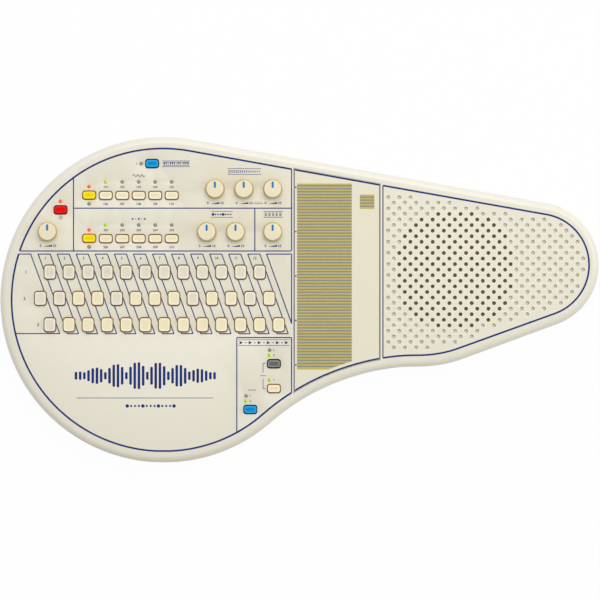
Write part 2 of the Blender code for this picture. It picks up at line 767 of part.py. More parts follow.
def make_speaker(material):
    mount_z = UNDER_PANEL_Z - GAP
    profile = [
        (DUST_CAP_RADIUS / 2, mount_z - CONE_DEPTH + DUST_CAP_HEIGHT),
        (DUST_CAP_RADIUS, mount_z - CONE_DEPTH),
        (SURROUND_RADIUS, mount_z - SPEAKER_FLANGE),
        (SURROUND_RADIUS, mount_z),
        (SPEAKER_FLANGE_RADIUS, mount_z),
        (SPEAKER_FLANGE_RADIUS, mount_z - SPEAKER_FLANGE),
        (SURROUND_RADIUS, mount_z - 2 * SPEAKER_FLANGE),
        (MAGNET_RADIUS, mount_z - BASKET_DEPTH),
        (MAGNET_RADIUS, mount_z - BASKET_DEPTH - MAGNET_HEIGHT),
    ]
    mesh = bmesh.new()
    add_loft(mesh, [at_height(circle(0, 0, radius, SPEAKER_STEPS), z) for radius, z in profile])
    speaker = make_object("speaker", finish_mesh(mesh, "speaker"), material)
    speaker.location = (SPEAKER_X, SPEAKER_Y, 0.0)
    return speaker


def board_parts():
    """Contact strips, switches, rotary controls and the upright board with its sockets."""
    mesh = bmesh.new()
    foot_z = BOARD_TOP_Z - EMBED
    places = chord_key_places()
    for kind in CHORD_COUNTS:
        row = [(x, y) for name, x, y in places if f"_{kind}_" in name]
        middle = (row[0][0] + row[-1][0]) / 2
        length = row[-1][0] - row[0][0] + CHORD_KEY_WIDTH
        add_box(mesh, middle, row[0][1], length, CONTACT_STRIP_WIDTH, foot_z, CONTACT_TOP_Z)
    for x, y in function_key_places():
        add_box(mesh, x, y, SWITCH_SIZE, SWITCH_SIZE, foot_z, SWITCH_TOP_Z)
    for x, y in knob_places().values():
        add_box(mesh, x, y, CONTROL_SIZE, CONTROL_SIZE, foot_z, UNDER_PANEL_Z - 2 * GAP)
    return make_cutter("board_parts", mesh)


def control_shafts():
    mesh = bmesh.new()
    low = UNDER_PANEL_Z - 2 * GAP - EMBED
    for x, y in knob_places().values():
        add_prism(mesh, circle(x, y, SHAFT_RADIUS, 10), low, KNOB_BOTTOM_Z + SHAFT_IN_KNOB)
    return make_cutter("control_shafts", mesh)


def socket_bodies():
    """Sockets on an upright board that hangs from the main board, behind the recess."""
    mesh = bmesh.new()
    front_y = BODY_RADIUS - RECESS_DEPTH - WALL - GAP
    board_y = front_y - SOCKET_LENGTH
    length = SOCKET_PITCH * SOCKET_COUNT
    low = SOCKET_Z - SOCKET_BODY / 2 + EMBED
    add_box(mesh, socket_centre_x(), board_y, length, BOARD_THICKNESS, low, BOARD_TOP_Z - EMBED)
    return make_cutter("upright_board", mesh)


def socket_barrels():
    mesh = bmesh.new()
    front_y = BODY_RADIUS - RECESS_DEPTH - WALL - GAP
    low = SOCKET_Z - SOCKET_BODY / 2
    for x in socket_places():
        y = front_y - SOCKET_LENGTH / 2
        add_box(mesh, x, y, SOCKET_BODY, SOCKET_LENGTH, low, low + SOCKET_BODY)
    return make_cutter("socket_barrels", mesh)


def socket_bores():
    mesh = bmesh.new()
    front_y = BODY_RADIUS - RECESS_DEPTH - WALL - GAP
    for x in socket_places():
        deepest = front_y - SOCKET_BORE_DEPTH
        cylinder_along_y(mesh, x, SOCKET_Z, SOCKET_BORE_RADIUS, deepest, front_y + WALL, 12)
    return make_cutter("socket_bores", mesh)


def make_main_board(material):
    """The board reaches from the round body to the end of the strum plate."""
    low = BOARD_TOP_Z - BOARD_THICKNESS
    mesh = bmesh.new()
    add_prism(mesh, outline(BOARD_RIM), low, BOARD_TOP_Z)
    board = make_object("main_board", finish_mesh(mesh, "main_board"), material)
    mesh = bmesh.new()
    right = STRUM_RIGHT
    left = -LENGTH
    add_box(mesh, (left + right) / 2, 0.0, right - left, 4 * BODY_RADIUS, low - PANEL, PANEL_Z)
    combine(board, make_cutter("board_end", mesh), "INTERSECT")
    for cutter in (board_parts(), control_shafts(), socket_bodies(), socket_barrels()):
        combine(board, cutter, "UNION")
    combine(board, socket_bores(), "DIFFERENCE")
    return board


def main():
    clear_scene()
    case = plastic("case_cream", (224, 220, 200), 0.45)
    cream = plastic("key_cream", (238, 226, 190), 0.4)
    grey = plastic("key_stone", (226, 218, 200), 0.4)
    yellow = plastic("key_yellow", (255, 225, 0), 0.35)
    red = plastic("key_red", (235, 30, 25), 0.35)
    blue = plastic("key_blue", (25, 145, 215), 0.35)
    dark = plastic("key_dark", (105, 108, 100), 0.4)
    make_top_case(case)
    make_bottom_case(case)
    make_strum_plate(plastic("strum_plate", (230, 224, 201), 0.35))
    make_battery_cover(case)
    make_speaker(plastic("speaker_black", (40, 36, 32), 0.7))
    make_main_board(plastic("board_green", (38, 92, 58), 0.5))
    make_chord_keys(cream, grey)
    finishes = {
        "power_key": red,
        "keyboard_key": blue,
        "voice_bank_key": yellow,
        "pattern_bank_key": yellow,
        "chord_mode_key": dark,
        "chord_hold_key": cream,
        "rhythm_start_key": blue,
    }
    make_function_keys(finishes)
    make_key_strip("voice_keys", VOICE_FROM_TOP, cream)
    make_key_strip("pattern_keys", PATTERN_FROM_TOP, cream)
    make_knobs(plastic("knob_cream", (240, 230, 200), 0.4))


main()
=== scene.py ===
"""Looks of an electronic autoharp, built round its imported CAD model.

Sizes are in millimetres in the frame of the CAD: +X from the round body to the nose of the neck, +Y
away from the player and +Z up out of the panel. They are turned into metres where a mesh is made.
"""

import json
import math

import bmesh
import bpy
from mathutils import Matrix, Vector
from mathutils.geometry import delaunay_2d_cdt


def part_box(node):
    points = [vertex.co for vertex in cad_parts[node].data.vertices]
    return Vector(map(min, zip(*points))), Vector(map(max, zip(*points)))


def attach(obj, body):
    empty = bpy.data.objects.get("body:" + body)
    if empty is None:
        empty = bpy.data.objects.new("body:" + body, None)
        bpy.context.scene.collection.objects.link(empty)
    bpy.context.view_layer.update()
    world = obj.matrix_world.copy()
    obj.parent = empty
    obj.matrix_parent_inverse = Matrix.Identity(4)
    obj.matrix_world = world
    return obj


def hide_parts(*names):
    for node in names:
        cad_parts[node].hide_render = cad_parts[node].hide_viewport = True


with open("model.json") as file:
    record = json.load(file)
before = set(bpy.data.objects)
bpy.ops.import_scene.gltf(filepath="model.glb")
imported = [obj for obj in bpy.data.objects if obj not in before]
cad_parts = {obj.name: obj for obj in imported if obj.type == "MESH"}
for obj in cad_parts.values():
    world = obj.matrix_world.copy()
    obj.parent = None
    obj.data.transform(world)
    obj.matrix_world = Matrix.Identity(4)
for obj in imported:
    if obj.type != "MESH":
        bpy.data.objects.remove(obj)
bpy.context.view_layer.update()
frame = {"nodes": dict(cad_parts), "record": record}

# Set
# A photographer's table: a pale floor, a wide soft light overhead, one beyond the far side, one beyond the
# nose, and an even fill from all round. The camera hangs straight above on a long lens: the view is flat.

MM = 0.001
VIEW_CENTRE = (0.55, -0.25)
VIEW_WIDTH = 600.0
CAMERA_DISTANCE = 6000.0
SENSOR_WIDTH = 36.0
FILL_LEVEL = 0.49
# Where each light stands, how wide it is and how many watts it gives.
STUDIO_LIGHTS = {
    "over_light": ((150.0, 850.0, 2500.0), 1400.0, 22.2),
    "far_light": ((100.0, 2300.0, 1700.0), 1800.0, 12.8),
    "nose_light": ((2300.0, 400.0, 1500.0), 1500.0, 13.5),
}
FLOOR_SIZE = 12000.0
FLOOR_COLOUR = (244, 244, 242)
FLOOR_GLOW = 0.97


def linear(colour):
    """sRGB levels out of 255 as the linear colour, with its alpha, that a shader takes."""
    shares = [level / 255 for level in colour]
    return [s / 12.92 if s <= 0.04045 else ((s + 0.055) / 1.055) ** 2.4 for s in shares] + [1.0]


class Value:
    """An output socket. An expression on it adds the Math nodes that work it out."""

    def __init__(self, nodes, socket):
        self.nodes = nodes
        self.socket = socket

    def other(self, name):
        """Another output of the same node."""
        return Value(self.nodes, self.socket.node.outputs[name])

    def math(self, operation, first, second):
        """The output of a new Math node."""
        return self.nodes.add("ShaderNodeMath", {"operation": operation}, {0: first, 1: second})

    def __add__(self, amount):
        return self.math("ADD", self, amount)

    def __sub__(self, amount):
        return self.math("SUBTRACT", self, amount)

    def __rsub__(self, amount):
        return self.math("SUBTRACT", amount, self)

    def __mul__(self, amount):
        return self.math("MULTIPLY", self, amount)

    def __gt__(self, amount):
        return self.math("GREATER_THAN", self, amount)

    __radd__ = __add__
    __rmul__ = __mul__


class Nodes:
    """A node tree and what puts nodes into it."""

    def __init__(self, tree):
        self.tree = tree

    def add(self, kind, settings, inputs, output=0):
        """One output of a new node, set up and fed."""
        node = self.tree.nodes.new(kind)
        for name, value in settings.items():
            setattr(node, name, value)
        self.feed(node, inputs)
        return Value(self, node.outputs[output])

    def feed(self, node, inputs):
        """Links or sets a node's inputs, found by name or by number."""
        for name, value in inputs.items():
            if isinstance(value, Value):
                self.tree.links.new(value.socket, node.inputs[name])
            else:
                node.inputs[name].default_value = value

    def looked_at(self):
        """1 for rays that show the surface, also in a mirror or through glass, and 0 for its light."""
        rays = self.add("ShaderNodeLightPath", {}, {}, "Is Camera Ray")
        return rays + rays.other("Is Glossy Ray") + rays.other("Is Transmission Ray")


scene = bpy.context.scene
scene.view_settings.view_transform = "Standard"


def box(node):
    """The lowest and the highest corner of a CAD node, in millimetres."""
    return [Vector(corner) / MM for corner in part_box(node)]


PANEL_Z = box("top_case")[1].z

camera = bpy.data.objects.new("camera", bpy.data.cameras.new("camera"))
camera.data.sensor_width = SENSOR_WIDTH
camera.data.lens = SENSOR_WIDTH * CAMERA_DISTANCE / VIEW_WIDTH
camera.location = Vector((*VIEW_CENTRE, PANEL_Z + CAMERA_DISTANCE)) * MM
scene.collection.objects.link(camera)
scene.camera = camera

for name, (place, width, power) in STUDIO_LIGHTS.items():
    light = bpy.data.objects.new(name, bpy.data.lights.new(name, "AREA"))
    light.data.size = width * MM
    light.data.energy = power
    light.location = Vector(place) * MM
    light.rotation_euler = light.location.to_track_quat("Z", "Y").to_euler()
    scene.collection.objects.link(light)

scene.world = bpy.data.worlds.new("studio")
scene.world.use_nodes = True
air = Nodes(scene.world.node_tree)
backdrop = FILL_LEVEL + air.looked_at() * (1 - FILL_LEVEL)
air.feed(scene.world.node_tree.nodes["Background"], {"Color": (1, 1, 1, 1), "Strength": backdrop})

floor_finish = bpy.data.materials.new("studio_floor")
floor_finish.use_nodes = True
paint = Nodes(floor_finish.node_tree)
matt = floor_finish.node_tree.nodes["Principled BSDF"]
paint.feed(matt, {"Base Color": linear(FLOOR_COLOUR), "Roughness": 0.9})
glow = paint.add("ShaderNodeEmission", {}, {"Color": (1, 1, 1, 1), "Strength": 1.0})
seen = paint.looked_at() * FLOOR_GLOW
surface = paint.add("ShaderNodeMixShader", {}, {0: seen, 1: Value(paint, matt.outputs[0]), 2: glow})
paint.feed(floor_finish.node_tree.nodes["Material Output"], {"Surface": surface})

half = FLOOR_SIZE / 2 * MM
floor_corners = [(-half, -half, 0), (half, -half, 0), (half, half, 0), (-half, half, 0)]
floor_mesh = bpy.data.meshes.new("floor")
floor_mesh.from_pydata(floor_corners, [], [(0, 1, 2, 3)])
floor_mesh.materials.append(floor_finish)
floor = bpy.data.objects.new("floor", floor_mesh)
scene.collection.objects.link(floor)

# Top case
# The upper shell, injection moulded in one shot from cream plastic with a fine matt grain. The openings
# for keys, lamps and shafts, the grille and the seat of the strum plate are all part of the mould.

CASE_COLOUR = (228, 223, 204)
# Painted shade in the wells, holes, dishes and seat, and a painted highlight on the rim and round the
# grille's holes.
CASE_PAINTED_SHADE = (168, 150, 82)
CASE_PAINTED_HIGHLIGHT = (237, 233, 219)
# The outline's arcs. The hollow waist runs into the convex hip at WAIST_Y.
NOSE_RADIUS = 63.0
NOSE_Y = 34.75
HIP_RADIUS = 127.0
HIP_BEHIND_NOSE = 119.1
WAIST_Y = -66.85
# The near side swells out a little from the arcs: where along X, over what length and how much.
SWELLS = ((-20.0, 90.0, 1.0), (50.0, 45.0, 0.5), (183.0, 48.0, 1.5))
# The fine curve runs this far inside the solid's corners, which keeps it within the solid's box.
KEEP_IN = 0.25
BODY_STEPS, WAIST_STEPS, HIP_STEPS, NOSE_STEPS = 120, 28, 10, 60
# The shell in section: the panel, the side wall, the parting line with the bottom case and the rim.
PANEL = 3.0
WALL = 2.6
PARTING_Z = 28.0
PARTING_GAP = 0.3
PARTING_CHAMFER = 0.6
INNER_CHAMFER = 3.0
RIM_RADIUS = 6.5
RIM_STEPS = 10
LAND = 0.8
# The rim is painted paler than the panel, a painted highlight that is strongest on the far side: how much,
# over what length this fades towards the player, its share beside the middle of the body, and its least
# share, which below 0 turns it to painted shade.
RIM_SHINE = 2.4
RIM_FADE = 200.0
RIM_MIDDLE = 0.75
RIM_DULL = -0.07
# Wells for the keys. A cap is less wide and less deep than its solid by two lips and by LESS, and the
# caps of a strip stand by SHIFT off its middle line.
CLEARANCE = 0.3
WELL_FILLET = 0.1
EDGE_STEPS = 3
CHORD_LIP = 1.4
CHORD_LESS = (0.25, 0.65)
CHORD_CORNER = 3.0
CAP_LIP = 1.0
CAP_LESS = (0.5, 0.6)
CAP_WIDTH = 13.9
CAP_CORNER = 2.5
STRIP_CAPS = 5
STRIP_SHIFT = (0.12, -0.3)
# Round holes for shafts and lamps. A lamp stands this far beside or beyond the middle of its key.
SHAFT_HOLE, SHAFT_EDGE, SHAFT_STEPS = 3.8, 0.3, 20
LAMP_HOLE, LAMP_EDGE = 1.75, 0.15
LAMP_NEAR, LAMP_FAR = 8.55, 13.65
LAMP_ASIDE = -4.15
KEYBOARD_LAMP = -10.9
# The grille: through holes over the speaker and blind dishes beyond, each in a faint ring of painted
# highlight.
GRILLE_PITCH = 5.57
GRILLE_RADIUS = 61.0
GRILLE_DROP = 0.25
HOLE_RADIUS = 1.95
HOLE_STEPS = 16
HOLE_CHAMFER = 0.18
HALO_IN, HALO_OUT = 1.0, 1.7
HALO_HIGHLIGHT = -0.6
# The field of dishes: how far inside the outline, drawn out round the nose, right of the strum plate and
# off the near side.
DIMPLE_EDGE = 17.15
DIMPLE_STEP = 3.0
DIMPLE_LEFT = 5.0
DIMPLE_FOOT = 0.9
# A dish in section: shares of the radius and of the depth, and the tone of painted shade, which leans darker
# towards +X and +Y.
DIMPLE_DEPTH = 1.7
DISH_EDGE_STEPS = 2
DISH_RINGS = ((0.94, 0.7, 0.66), (0.8, 0.93, 0.56), (0.4, 1.0, 0.38))
DISH_SHADE_LEAN = 0.22
STRUM_SEAT = 9.95
STRUM_SEAT_Z = 50.0
STRUM_GAP = 0.3
# Places closer than this are one place, and edges sharper than this are shaded as edges.
TIGHT = 1e-4
SHARP = math.radians(40)

BODY_X = (box("battery_cover")[0].x + box("battery_cover")[1].x) / 2
BODY_RADIUS = BODY_X - box("top_case")[0].x
NOSE_X = -box("top_case")[0].x - NOSE_RADIUS
HIP_X = NOSE_X - HIP_BEHIND_NOSE
HIP_Y = WAIST_Y + HIP_RADIUS
UNDER_PANEL_Z = PANEL_Z - PANEL


def arc(centre, radius, start, end, steps):
    """Points on an arc, both ends included. Angles are in radians."""
    angles = [start + (end - start) * i / steps for i in range(steps + 1)]
    return [(centre[0] + radius * math.cos(a), centre[1] + radius * math.sin(a)) for a in angles]


def shared_normal(centre_a, radius_a, centre_b, radius_b, side):
    """Angle of the outward normal that a line along the outside of two circles has."""
    dx, dy = centre_b[0] - centre_a[0], centre_b[1] - centre_a[1]
    return math.atan2(dy, dx) + side * math.acos((radius_a - radius_b) / math.hypot(dx, dy))


def swell(x):
    """How far the near side swells out at this X."""
    return sum(amount * math.exp(-(((x - centre) / length) ** 2)) for centre, length, amount in SWELLS)


def outline(inset):
    """The case seen from above, moved inwards: round body, hollow waist, convex hip and round nose."""
    inset = max(inset, 0.0) + KEEP_IN
    body, nose, hip = (BODY_X, 0.0), (NOSE_X, NOSE_Y), (HIP_X, HIP_Y)
    reach = HIP_X - BODY_X
    hollow = (reach**2 + WAIST_Y**2 - BODY_RADIUS**2) / (2 * (BODY_RADIUS + WAIST_Y))
    waist = (HIP_X, WAIST_Y - hollow)
    top = shared_normal(body, BODY_RADIUS, nose, NOSE_RADIUS, 1)
    lower = shared_normal(hip, HIP_RADIUS, nose, NOSE_RADIUS, -1)
    turn = math.atan2(-waist[1], BODY_X - waist[0])
    points = arc(body, BODY_RADIUS - inset, top, turn + math.pi, BODY_STEPS)
    points += arc(waist, hollow + inset, turn, math.pi / 2, WAIST_STEPS)[1:-1]
    points += arc(hip, HIP_RADIUS - inset, -math.pi / 2, lower, HIP_STEPS)
    points += arc(nose, NOSE_RADIUS - inset, lower, top, NOSE_STEPS)
    return [(x, max(y - swell(x) * (y < 0), inset - BODY_RADIUS)) for x, y in points]


def drawn_out(points, step):
    """A closed or open line with the part round the nose moved a little along the neck."""
    return [(x + step * (x > NOSE_X), y) for x, y in points]


def circle(x, y, radius, steps):
    """Points round a circle, the first one not repeated."""
    return arc((x, y), radius, 0.0, 2 * math.pi * (1 - 1 / steps), steps - 1)


def round_about(x, y, steps):
    """A function that gives the circle round a place for each radius."""
    return lambda radius: circle(x, y, radius, steps)


def rounded(x, y, width, depth, radius, steps=5):
    """A rectangle with round corners, counterclockwise."""
    points = []
    for i, (sx, sy) in enumerate(((1, 1), (-1, 1), (-1, -1), (1, -1))):
        corner = (x + sx * (width / 2 - radius), y + sy * (depth / 2 - radius))
        start = i * math.pi / 2
        points += arc(corner, radius, start, start + math.pi / 2, steps)
    return points


def side_of(points, limit, keep, axis=0):
    """What lies beyond (keep 1) or short of (keep -1) a line across the X axis or across the Y axis."""
    kept = []
    for a, b in zip(points, points[1:] + points[:1]):
        a_in, b_in = keep * (a[axis] - limit) >= 0, keep * (b[axis] - limit) >= 0
        if a_in:
            kept.append(a)
        if a_in != b_in:
            share = (limit - a[axis]) / (b[axis] - a[axis])
            met = [a[0] + share * (b[0] - a[0]), a[1] + share * (b[1] - a[1])]
            met[axis] = limit
            kept.append(tuple(met))
    return kept


def strip_of(points, left, right):
    """What lies between two lines across the X axis."""
    return side_of(side_of(points, left, 1), right, -1)


def encloses(points, x, y):
    """Whether a place lies within an outline."""
    inside = False
    for (ax, ay), (bx, by) in zip(points, points[1:] + points[:1]):
        if (ay > y) != (by > y) and x < ax + (y - ay) / (by - ay) * (bx - ax):
            inside = not inside
    return inside


def quarter(steps):
    """Angles from 0 to a right angle, both included."""
    return [math.pi / 2 * i / steps for i in range(steps + 1)]


def fillet(radius, steps):
    """How far each ring of a rounded edge lies outside the wall, and how far below the face."""
    return [(radius * (1 - math.sin(a)), radius * (1 - math.cos(a))) for a in quarter(steps)]


class Form:
    """Points in millimetres and the faces on them, gathered into closed shapes of one piece."""

    def __init__(self):
        self.points = []
        self.tones = []
        self.faces = []
        self.flat = []

    def ring(self, places, z, tone=0.0):
        """Points at one height. Tone is a share of painted shade, or below 0 of painted highlight, for the
        finish to use.
        """
        start = len(self.points)
        self.points += [(x, y, z) for x, y in places]
        self.tones += [tone(x, y) if callable(tone) else tone for x, y in places]
        return list(range(start, len(self.points)))

    def skin(self, rings):
        """Quads between each ring and the next. Gives the rings."""
        for first, second in zip(rings, rings[1:]):
            for i, a in enumerate(first):
                j = (i + 1) % len(first)
                self.faces.append((a, first[j], second[j], second[i]))
                self.flat.append(False)
        return rings

    def fill(self, outer, holes=()):
        """A flat face within one ring and round others."""
        order = [i for ring in (outer, *holes) for i in ring]
        loops, start = [], 0
        for ring in (outer, *holes):
            loops.append(list(range(start, start + len(ring))))
            start += len(ring)
        flat = [Vector(self.points[i][:2]) for i in order]
        found = delaunay_2d_cdt(flat, [], loops, 1, TIGHT)
        for triangle, owners in zip(found[2], found[5]):
            if owners == [0]:
                self.faces.append([order[found[3][corner][0]] for corner in triangle])
                self.flat.append(True)

    def lid(self, ring):
        """One face across a ring."""
        self.faces.append(ring)
        self.flat.append(True)

    def tube(self, profile, shape):
        """Skins rings of a shape, one for each inset and height of a profile, or tone too."""
        return self.skin([self.ring(shape(inset), z, *tone) for inset, z, *tone in profile])

    def stack(self, profile, shape):
        """A tube with a lid on both ends."""
        rings = self.tube(profile, shape)
        self.lid(rings[0])
        self.lid(rings[-1])

    def post(self, shape, low, high):
        """A shape carried straight up from one height to another, with both lids."""
        self.stack([(0, low), (0, high)], lambda inset: shape)

    def layer(self, marks, holes, low, high, within=None, tone=0.0):
        """A thin layer over all the marks together, less the holes and what lies outside a line."""
        loops = [*marks, *holes] + ([within] if within else [])
        flat, starts = [], []
        for loop in loops:
            starts.append(len(flat))
            flat += [Vector(point) for point in loop]
        ends = [list(range(start, start + len(loop))) for start, loop in zip(starts, loops)]
        found = delaunay_2d_cdt(flat, [], ends, 1, TIGHT)
        last = len(marks) + len(holes)
        sides = {}
        under, over = self.ring(found[0], low, tone), self.ring(found[0], high, tone)
        for triangle, owners in zip(found[2], found[5]):
            marked = any(owner < len(marks) for owner in owners)
            holed = any(len(marks) <= owner < last for owner in owners)
            if not marked or holed or (within and last not in owners):
                continue
            self.faces += [[under[i] for i in triangle], [over[i] for i in triangle]]
            self.flat += [True, True]
            for a, b in zip(triangle, triangle[1:] + triangle[:1]):
                key = (min(a, b), max(a, b))
                sides[key] = sides.get(key, 0) + 1
        for (a, b), uses in sides.items():
            if uses == 1:
                self.faces.append((under[a], under[b], over[b], over[a]))
                self.flat.append(True)

    def made(self, name, finish, place=(0, 0, 0)):
        """The piece in metres, smooth but for its flat faces and its edges of over 40 degrees."""
        data = bpy.data.meshes.new(name)
        data.from_pydata([Vector(point) * MM for point in self.points], [], self.faces)
        data.attributes.new("tone", "FLOAT", "POINT").data.foreach_set("value", self.tones)
        data.polygons.foreach_set("use_smooth", [not flat for flat in self.flat])
        mesh = bmesh.new()
        mesh.from_mesh(data)
        spare = [vertex for vertex in mesh.verts if not vertex.link_faces]
        bmesh.ops.delete(mesh, geom=spare, context="VERTS")
        bmesh.ops.recalc_face_normals(mesh, faces=mesh.faces)
        mesh.to_mesh(data)
        mesh.free()
        data.set_sharp_from_angle(angle=SHARP)
        data.materials.append(finish)
        return placed(name, data, place)


def placed(name, data, place=(0, 0, 0)):
    """An object with this mesh or curve at a place in millimetres."""
    made = bpy.data.objects.new(name, data)
    made.location = Vector(place) * MM
    scene.collection.objects.link(made)
    return made


def fit(piece, body, slot, *nodes):
    """The piece moves with a body and stands for these CAD nodes; the slot is not used."""
    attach(piece, body)
    if nodes:
        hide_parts(*nodes)
    return piece


class Finish(Nodes):
    """A material on one Principled shader, patterned by place on the piece."""

    def __init__(self, name, colour, roughness, **fixed):
        self.material = bpy.data.materials.new(name)
        self.material.use_nodes = True
        super().__init__(self.material.node_tree)
        self.shader = self.tree.nodes["Principled BSDF"]
        self.colour = linear(colour)
        self.place = self.add("ShaderNodeTexCoord", {}, {}, "Object")
        self.feed(self.shader, {"Base Color": self.colour, "Roughness": roughness})
        names = [name.replace("_", " ").title().replace("Ior", "IOR") for name in fixed]
        self.feed(self.shader, dict(zip(names, fixed.values())))

    def noise(self, size, detail=2.0):
        """Soft noise from 0 to 1 with features of about this size in millimetres."""
        inputs = {"Vector": self.place, "Scale": 1 / (size * MM), "Detail": detail}
        return self.add("ShaderNodeTexNoise", {}, inputs, "Fac")

    def blend(self, share, first, second):
        """The first colour where share is 0 and the second where it is 1."""
        return self.add("ShaderNodeMix", {"data_type": "RGBA"}, {0: share, 6: first, 7: second}, 2)

    def shaded(self, amount):
        """The finish's own colour, lighter or darker by a share."""
        return [level * (1 + amount) for level in self.colour[:3]] + [1.0]

    def tone(self):
        """The tone that the piece's points carry."""
        return self.add("ShaderNodeAttribute", {"attribute_name": "tone"}, {}, "Fac")

    def dented(self, height, depth):
        """Feeds the Normal from a height that is worth this depth in millimetres."""
        normal = self.add("ShaderNodeBump", {}, {"Height": height, "Distance": depth * MM})
        self.feed(self.shader, {"Normal": normal})


def moulded(name, colour, roughness, deep=None, edge=None, grain=0.4, depth=0.01, cloud=0.02, **fixed):
    """Moulded plastic: a fine matt grain, a faintly cloudy colour, painted shade in gaps and painted
    highlights on edges.
    """
    finish = Finish(name, colour, roughness, **fixed)
    clouds = finish.noise(size=45.0)
    specks = finish.noise(size=1.6, detail=3.0)
    share = clouds * 0.6 + specks * 0.4
    tone = finish.tone()
    face = finish.blend(share, finish.shaded(-cloud), finish.shaded(cloud))
    # Below 0 the tone paints a highlight in the edge colour.
    if edge:
        face = finish.blend(0 - tone, face, linear(edge))
    # Above 0 the tone paints shade in the deep colour.
    if deep:
        face = finish.blend(tone, face, linear(deep))
    finish.feed(finish.shader, {"Base Color": face, "Roughness": specks * 0.1 + (roughness - 0.05)})
    finish.dented(finish.noise(size=grain, detail=4.0), depth)
    return finish.material


def middle(node):
    """The middle of a CAD node, seen from above."""
    low, high = box(node)
    return (low.x + high.x) / 2, (low.y + high.y) / 2


def beside(place, dx, dy):
    """A place a step away from another."""
    return place[0] + dx, place[1] + dy


chord_keys = [name for name in frame["nodes"] if name.startswith("chord_key_")]
key_strips = ["voice_keys", "pattern_keys"]
single_keys = [name for name in frame["nodes"] if name.endswith("_key")]
knobs = [name for name in frame["nodes"] if name.endswith("_knob")]


def caps(node):
    """Centres of the caps on a strip, from its left end."""
    low, high = box(node)
    first = low.x + CAP_LIP + CAP_WIDTH / 2
    pitch = (high.x - low.x - CAP_WIDTH - 2 * CAP_LIP) / (STRIP_CAPS - 1)
    start = beside((first, middle(node)[1]), *STRIP_SHIFT)
    return [beside(start, i * pitch, 0.0) for i in range(STRIP_CAPS)]


chord_extent = box(chord_keys[0])[1] - box(chord_keys[0])[0]
CHORD_SIZE = [size - 2 * CHORD_LIP - less for size, less in zip(chord_extent, CHORD_LESS)]
cap_extent = box(single_keys[0])[1] - box(single_keys[0])[0]
CAP_SIZE = [size - 2 * CAP_LIP - less for size, less in zip(cap_extent, CAP_LESS)]
cap_places = [middle(name) for name in single_keys] + caps("voice_keys") + caps("pattern_keys")
chord_places = {name: beside(middle(name), *[-less / 2 for less in CHORD_LESS]) for name in chord_keys}
knob_places = {name: middle(name) for name in knobs}

lamps = {"lamp_green": [], "lamp_red": [], "lamp_dark": []}
for strip, bank in (("voice_keys", "voice_bank_key"), ("pattern_keys", "pattern_bank_key")):
    row = [beside(cap, 0.0, LAMP_FAR) for cap in caps(strip)]
    lamps["lamp_green"] += row[:1]
    lamps["lamp_dark"] += row[1:] + [beside(middle(bank), 0.0, -LAMP_NEAR)]
    lamps["lamp_red"].append(beside(middle(bank), 0.0, LAMP_NEAR))
lamps["lamp_red"].append(beside(middle("power_key"), 0.0, LAMP_NEAR))
lamps["lamp_dark"].append(beside(middle("keyboard_key"), KEYBOARD_LAMP, 0.0))
for name in ("chord_mode_key", "rhythm_start_key"):
    lamps["lamp_dark"].append(beside(middle(name), LAMP_ASIDE, LAMP_FAR))
for name in ("chord_mode_key", "chord_hold_key", "rhythm_start_key"):
    lamps["lamp_green"].append(beside(middle(name), LAMP_ASIDE, LAMP_NEAR))

strum_low, strum_high = box("strum_plate")
SPEAKER = middle("speaker")
PANEL_RIGHT = strum_high.x + DIMPLE_LEFT


def grille():
    """Places of the through holes and of the blind dimples: every second point of one square grid."""
    through, blind = [], []
    field = side_of(drawn_out(outline(DIMPLE_EDGE), DIMPLE_STEP), PANEL_RIGHT, 1)
    reach = int(2 * GRILLE_RADIUS / GRILLE_PITCH) + 3
    for i in range(-reach, reach + 1):
        for j in range(-reach, reach + 1):
            if (i + j) % 2 == 0:
                continue
            x, y = SPEAKER[0] + i * GRILLE_PITCH, SPEAKER[1] + j * GRILLE_PITCH - GRILLE_DROP
            if math.hypot(i, j) * GRILLE_PITCH <= GRILLE_RADIUS:
                through.append((x, y))
            elif encloses(field, x, y) and encloses(field, x, y - DIMPLE_FOOT):
                blind.append((x, y))
    return through, blind


through_holes, dimples = grille()


def halo(radius):
    """The two outer rings of the circle of painted highlight round a hole."""
    return [(radius + HALO_OUT, PANEL_Z, 0.0), (radius + HALO_IN, PANEL_Z, HALO_HIGHLIGHT)]


def round_hole(form, x, y, radius, edge, steps, bright=False):
    """A round opening through the panel with a soft edge, its wall in painted shade and perhaps a ring of
    painted highlight round it. Gives its end rings.
    """
    profile = [(radius + out, PANEL_Z - down, down / edge) for out, down in fillet(edge, EDGE_STEPS)]
    profile += [(radius, UNDER_PANEL_Z, 1.0)]
    if bright:
        profile = halo(radius) + [(radius + edge, PANEL_Z, HALO_HIGHLIGHT)] + profile[1:]
    rings = form.tube(profile, round_about(x, y, steps))
    return rings[0], rings[-1]


def well(form, x, y, size, corner):
    """An opening for a key, with a soft edge, through the panel, its edge and wall in painted shade. Gives
    its end rings.
    """
    width, depth = size[0] + 2 * CLEARANCE, size[1] + 2 * CLEARANCE
    profile = [(out, PANEL_Z - down, down / WELL_FILLET) for out, down in fillet(WELL_FILLET, EDGE_STEPS)]
    profile += [(0.0, UNDER_PANEL_Z, 1.0)]

    def mouth(out):
        return rounded(x, y, width + 2 * out, depth + 2 * out, corner + CLEARANCE + out)

    rings = form.tube(profile, mouth)
    return rings[0], rings[-1]


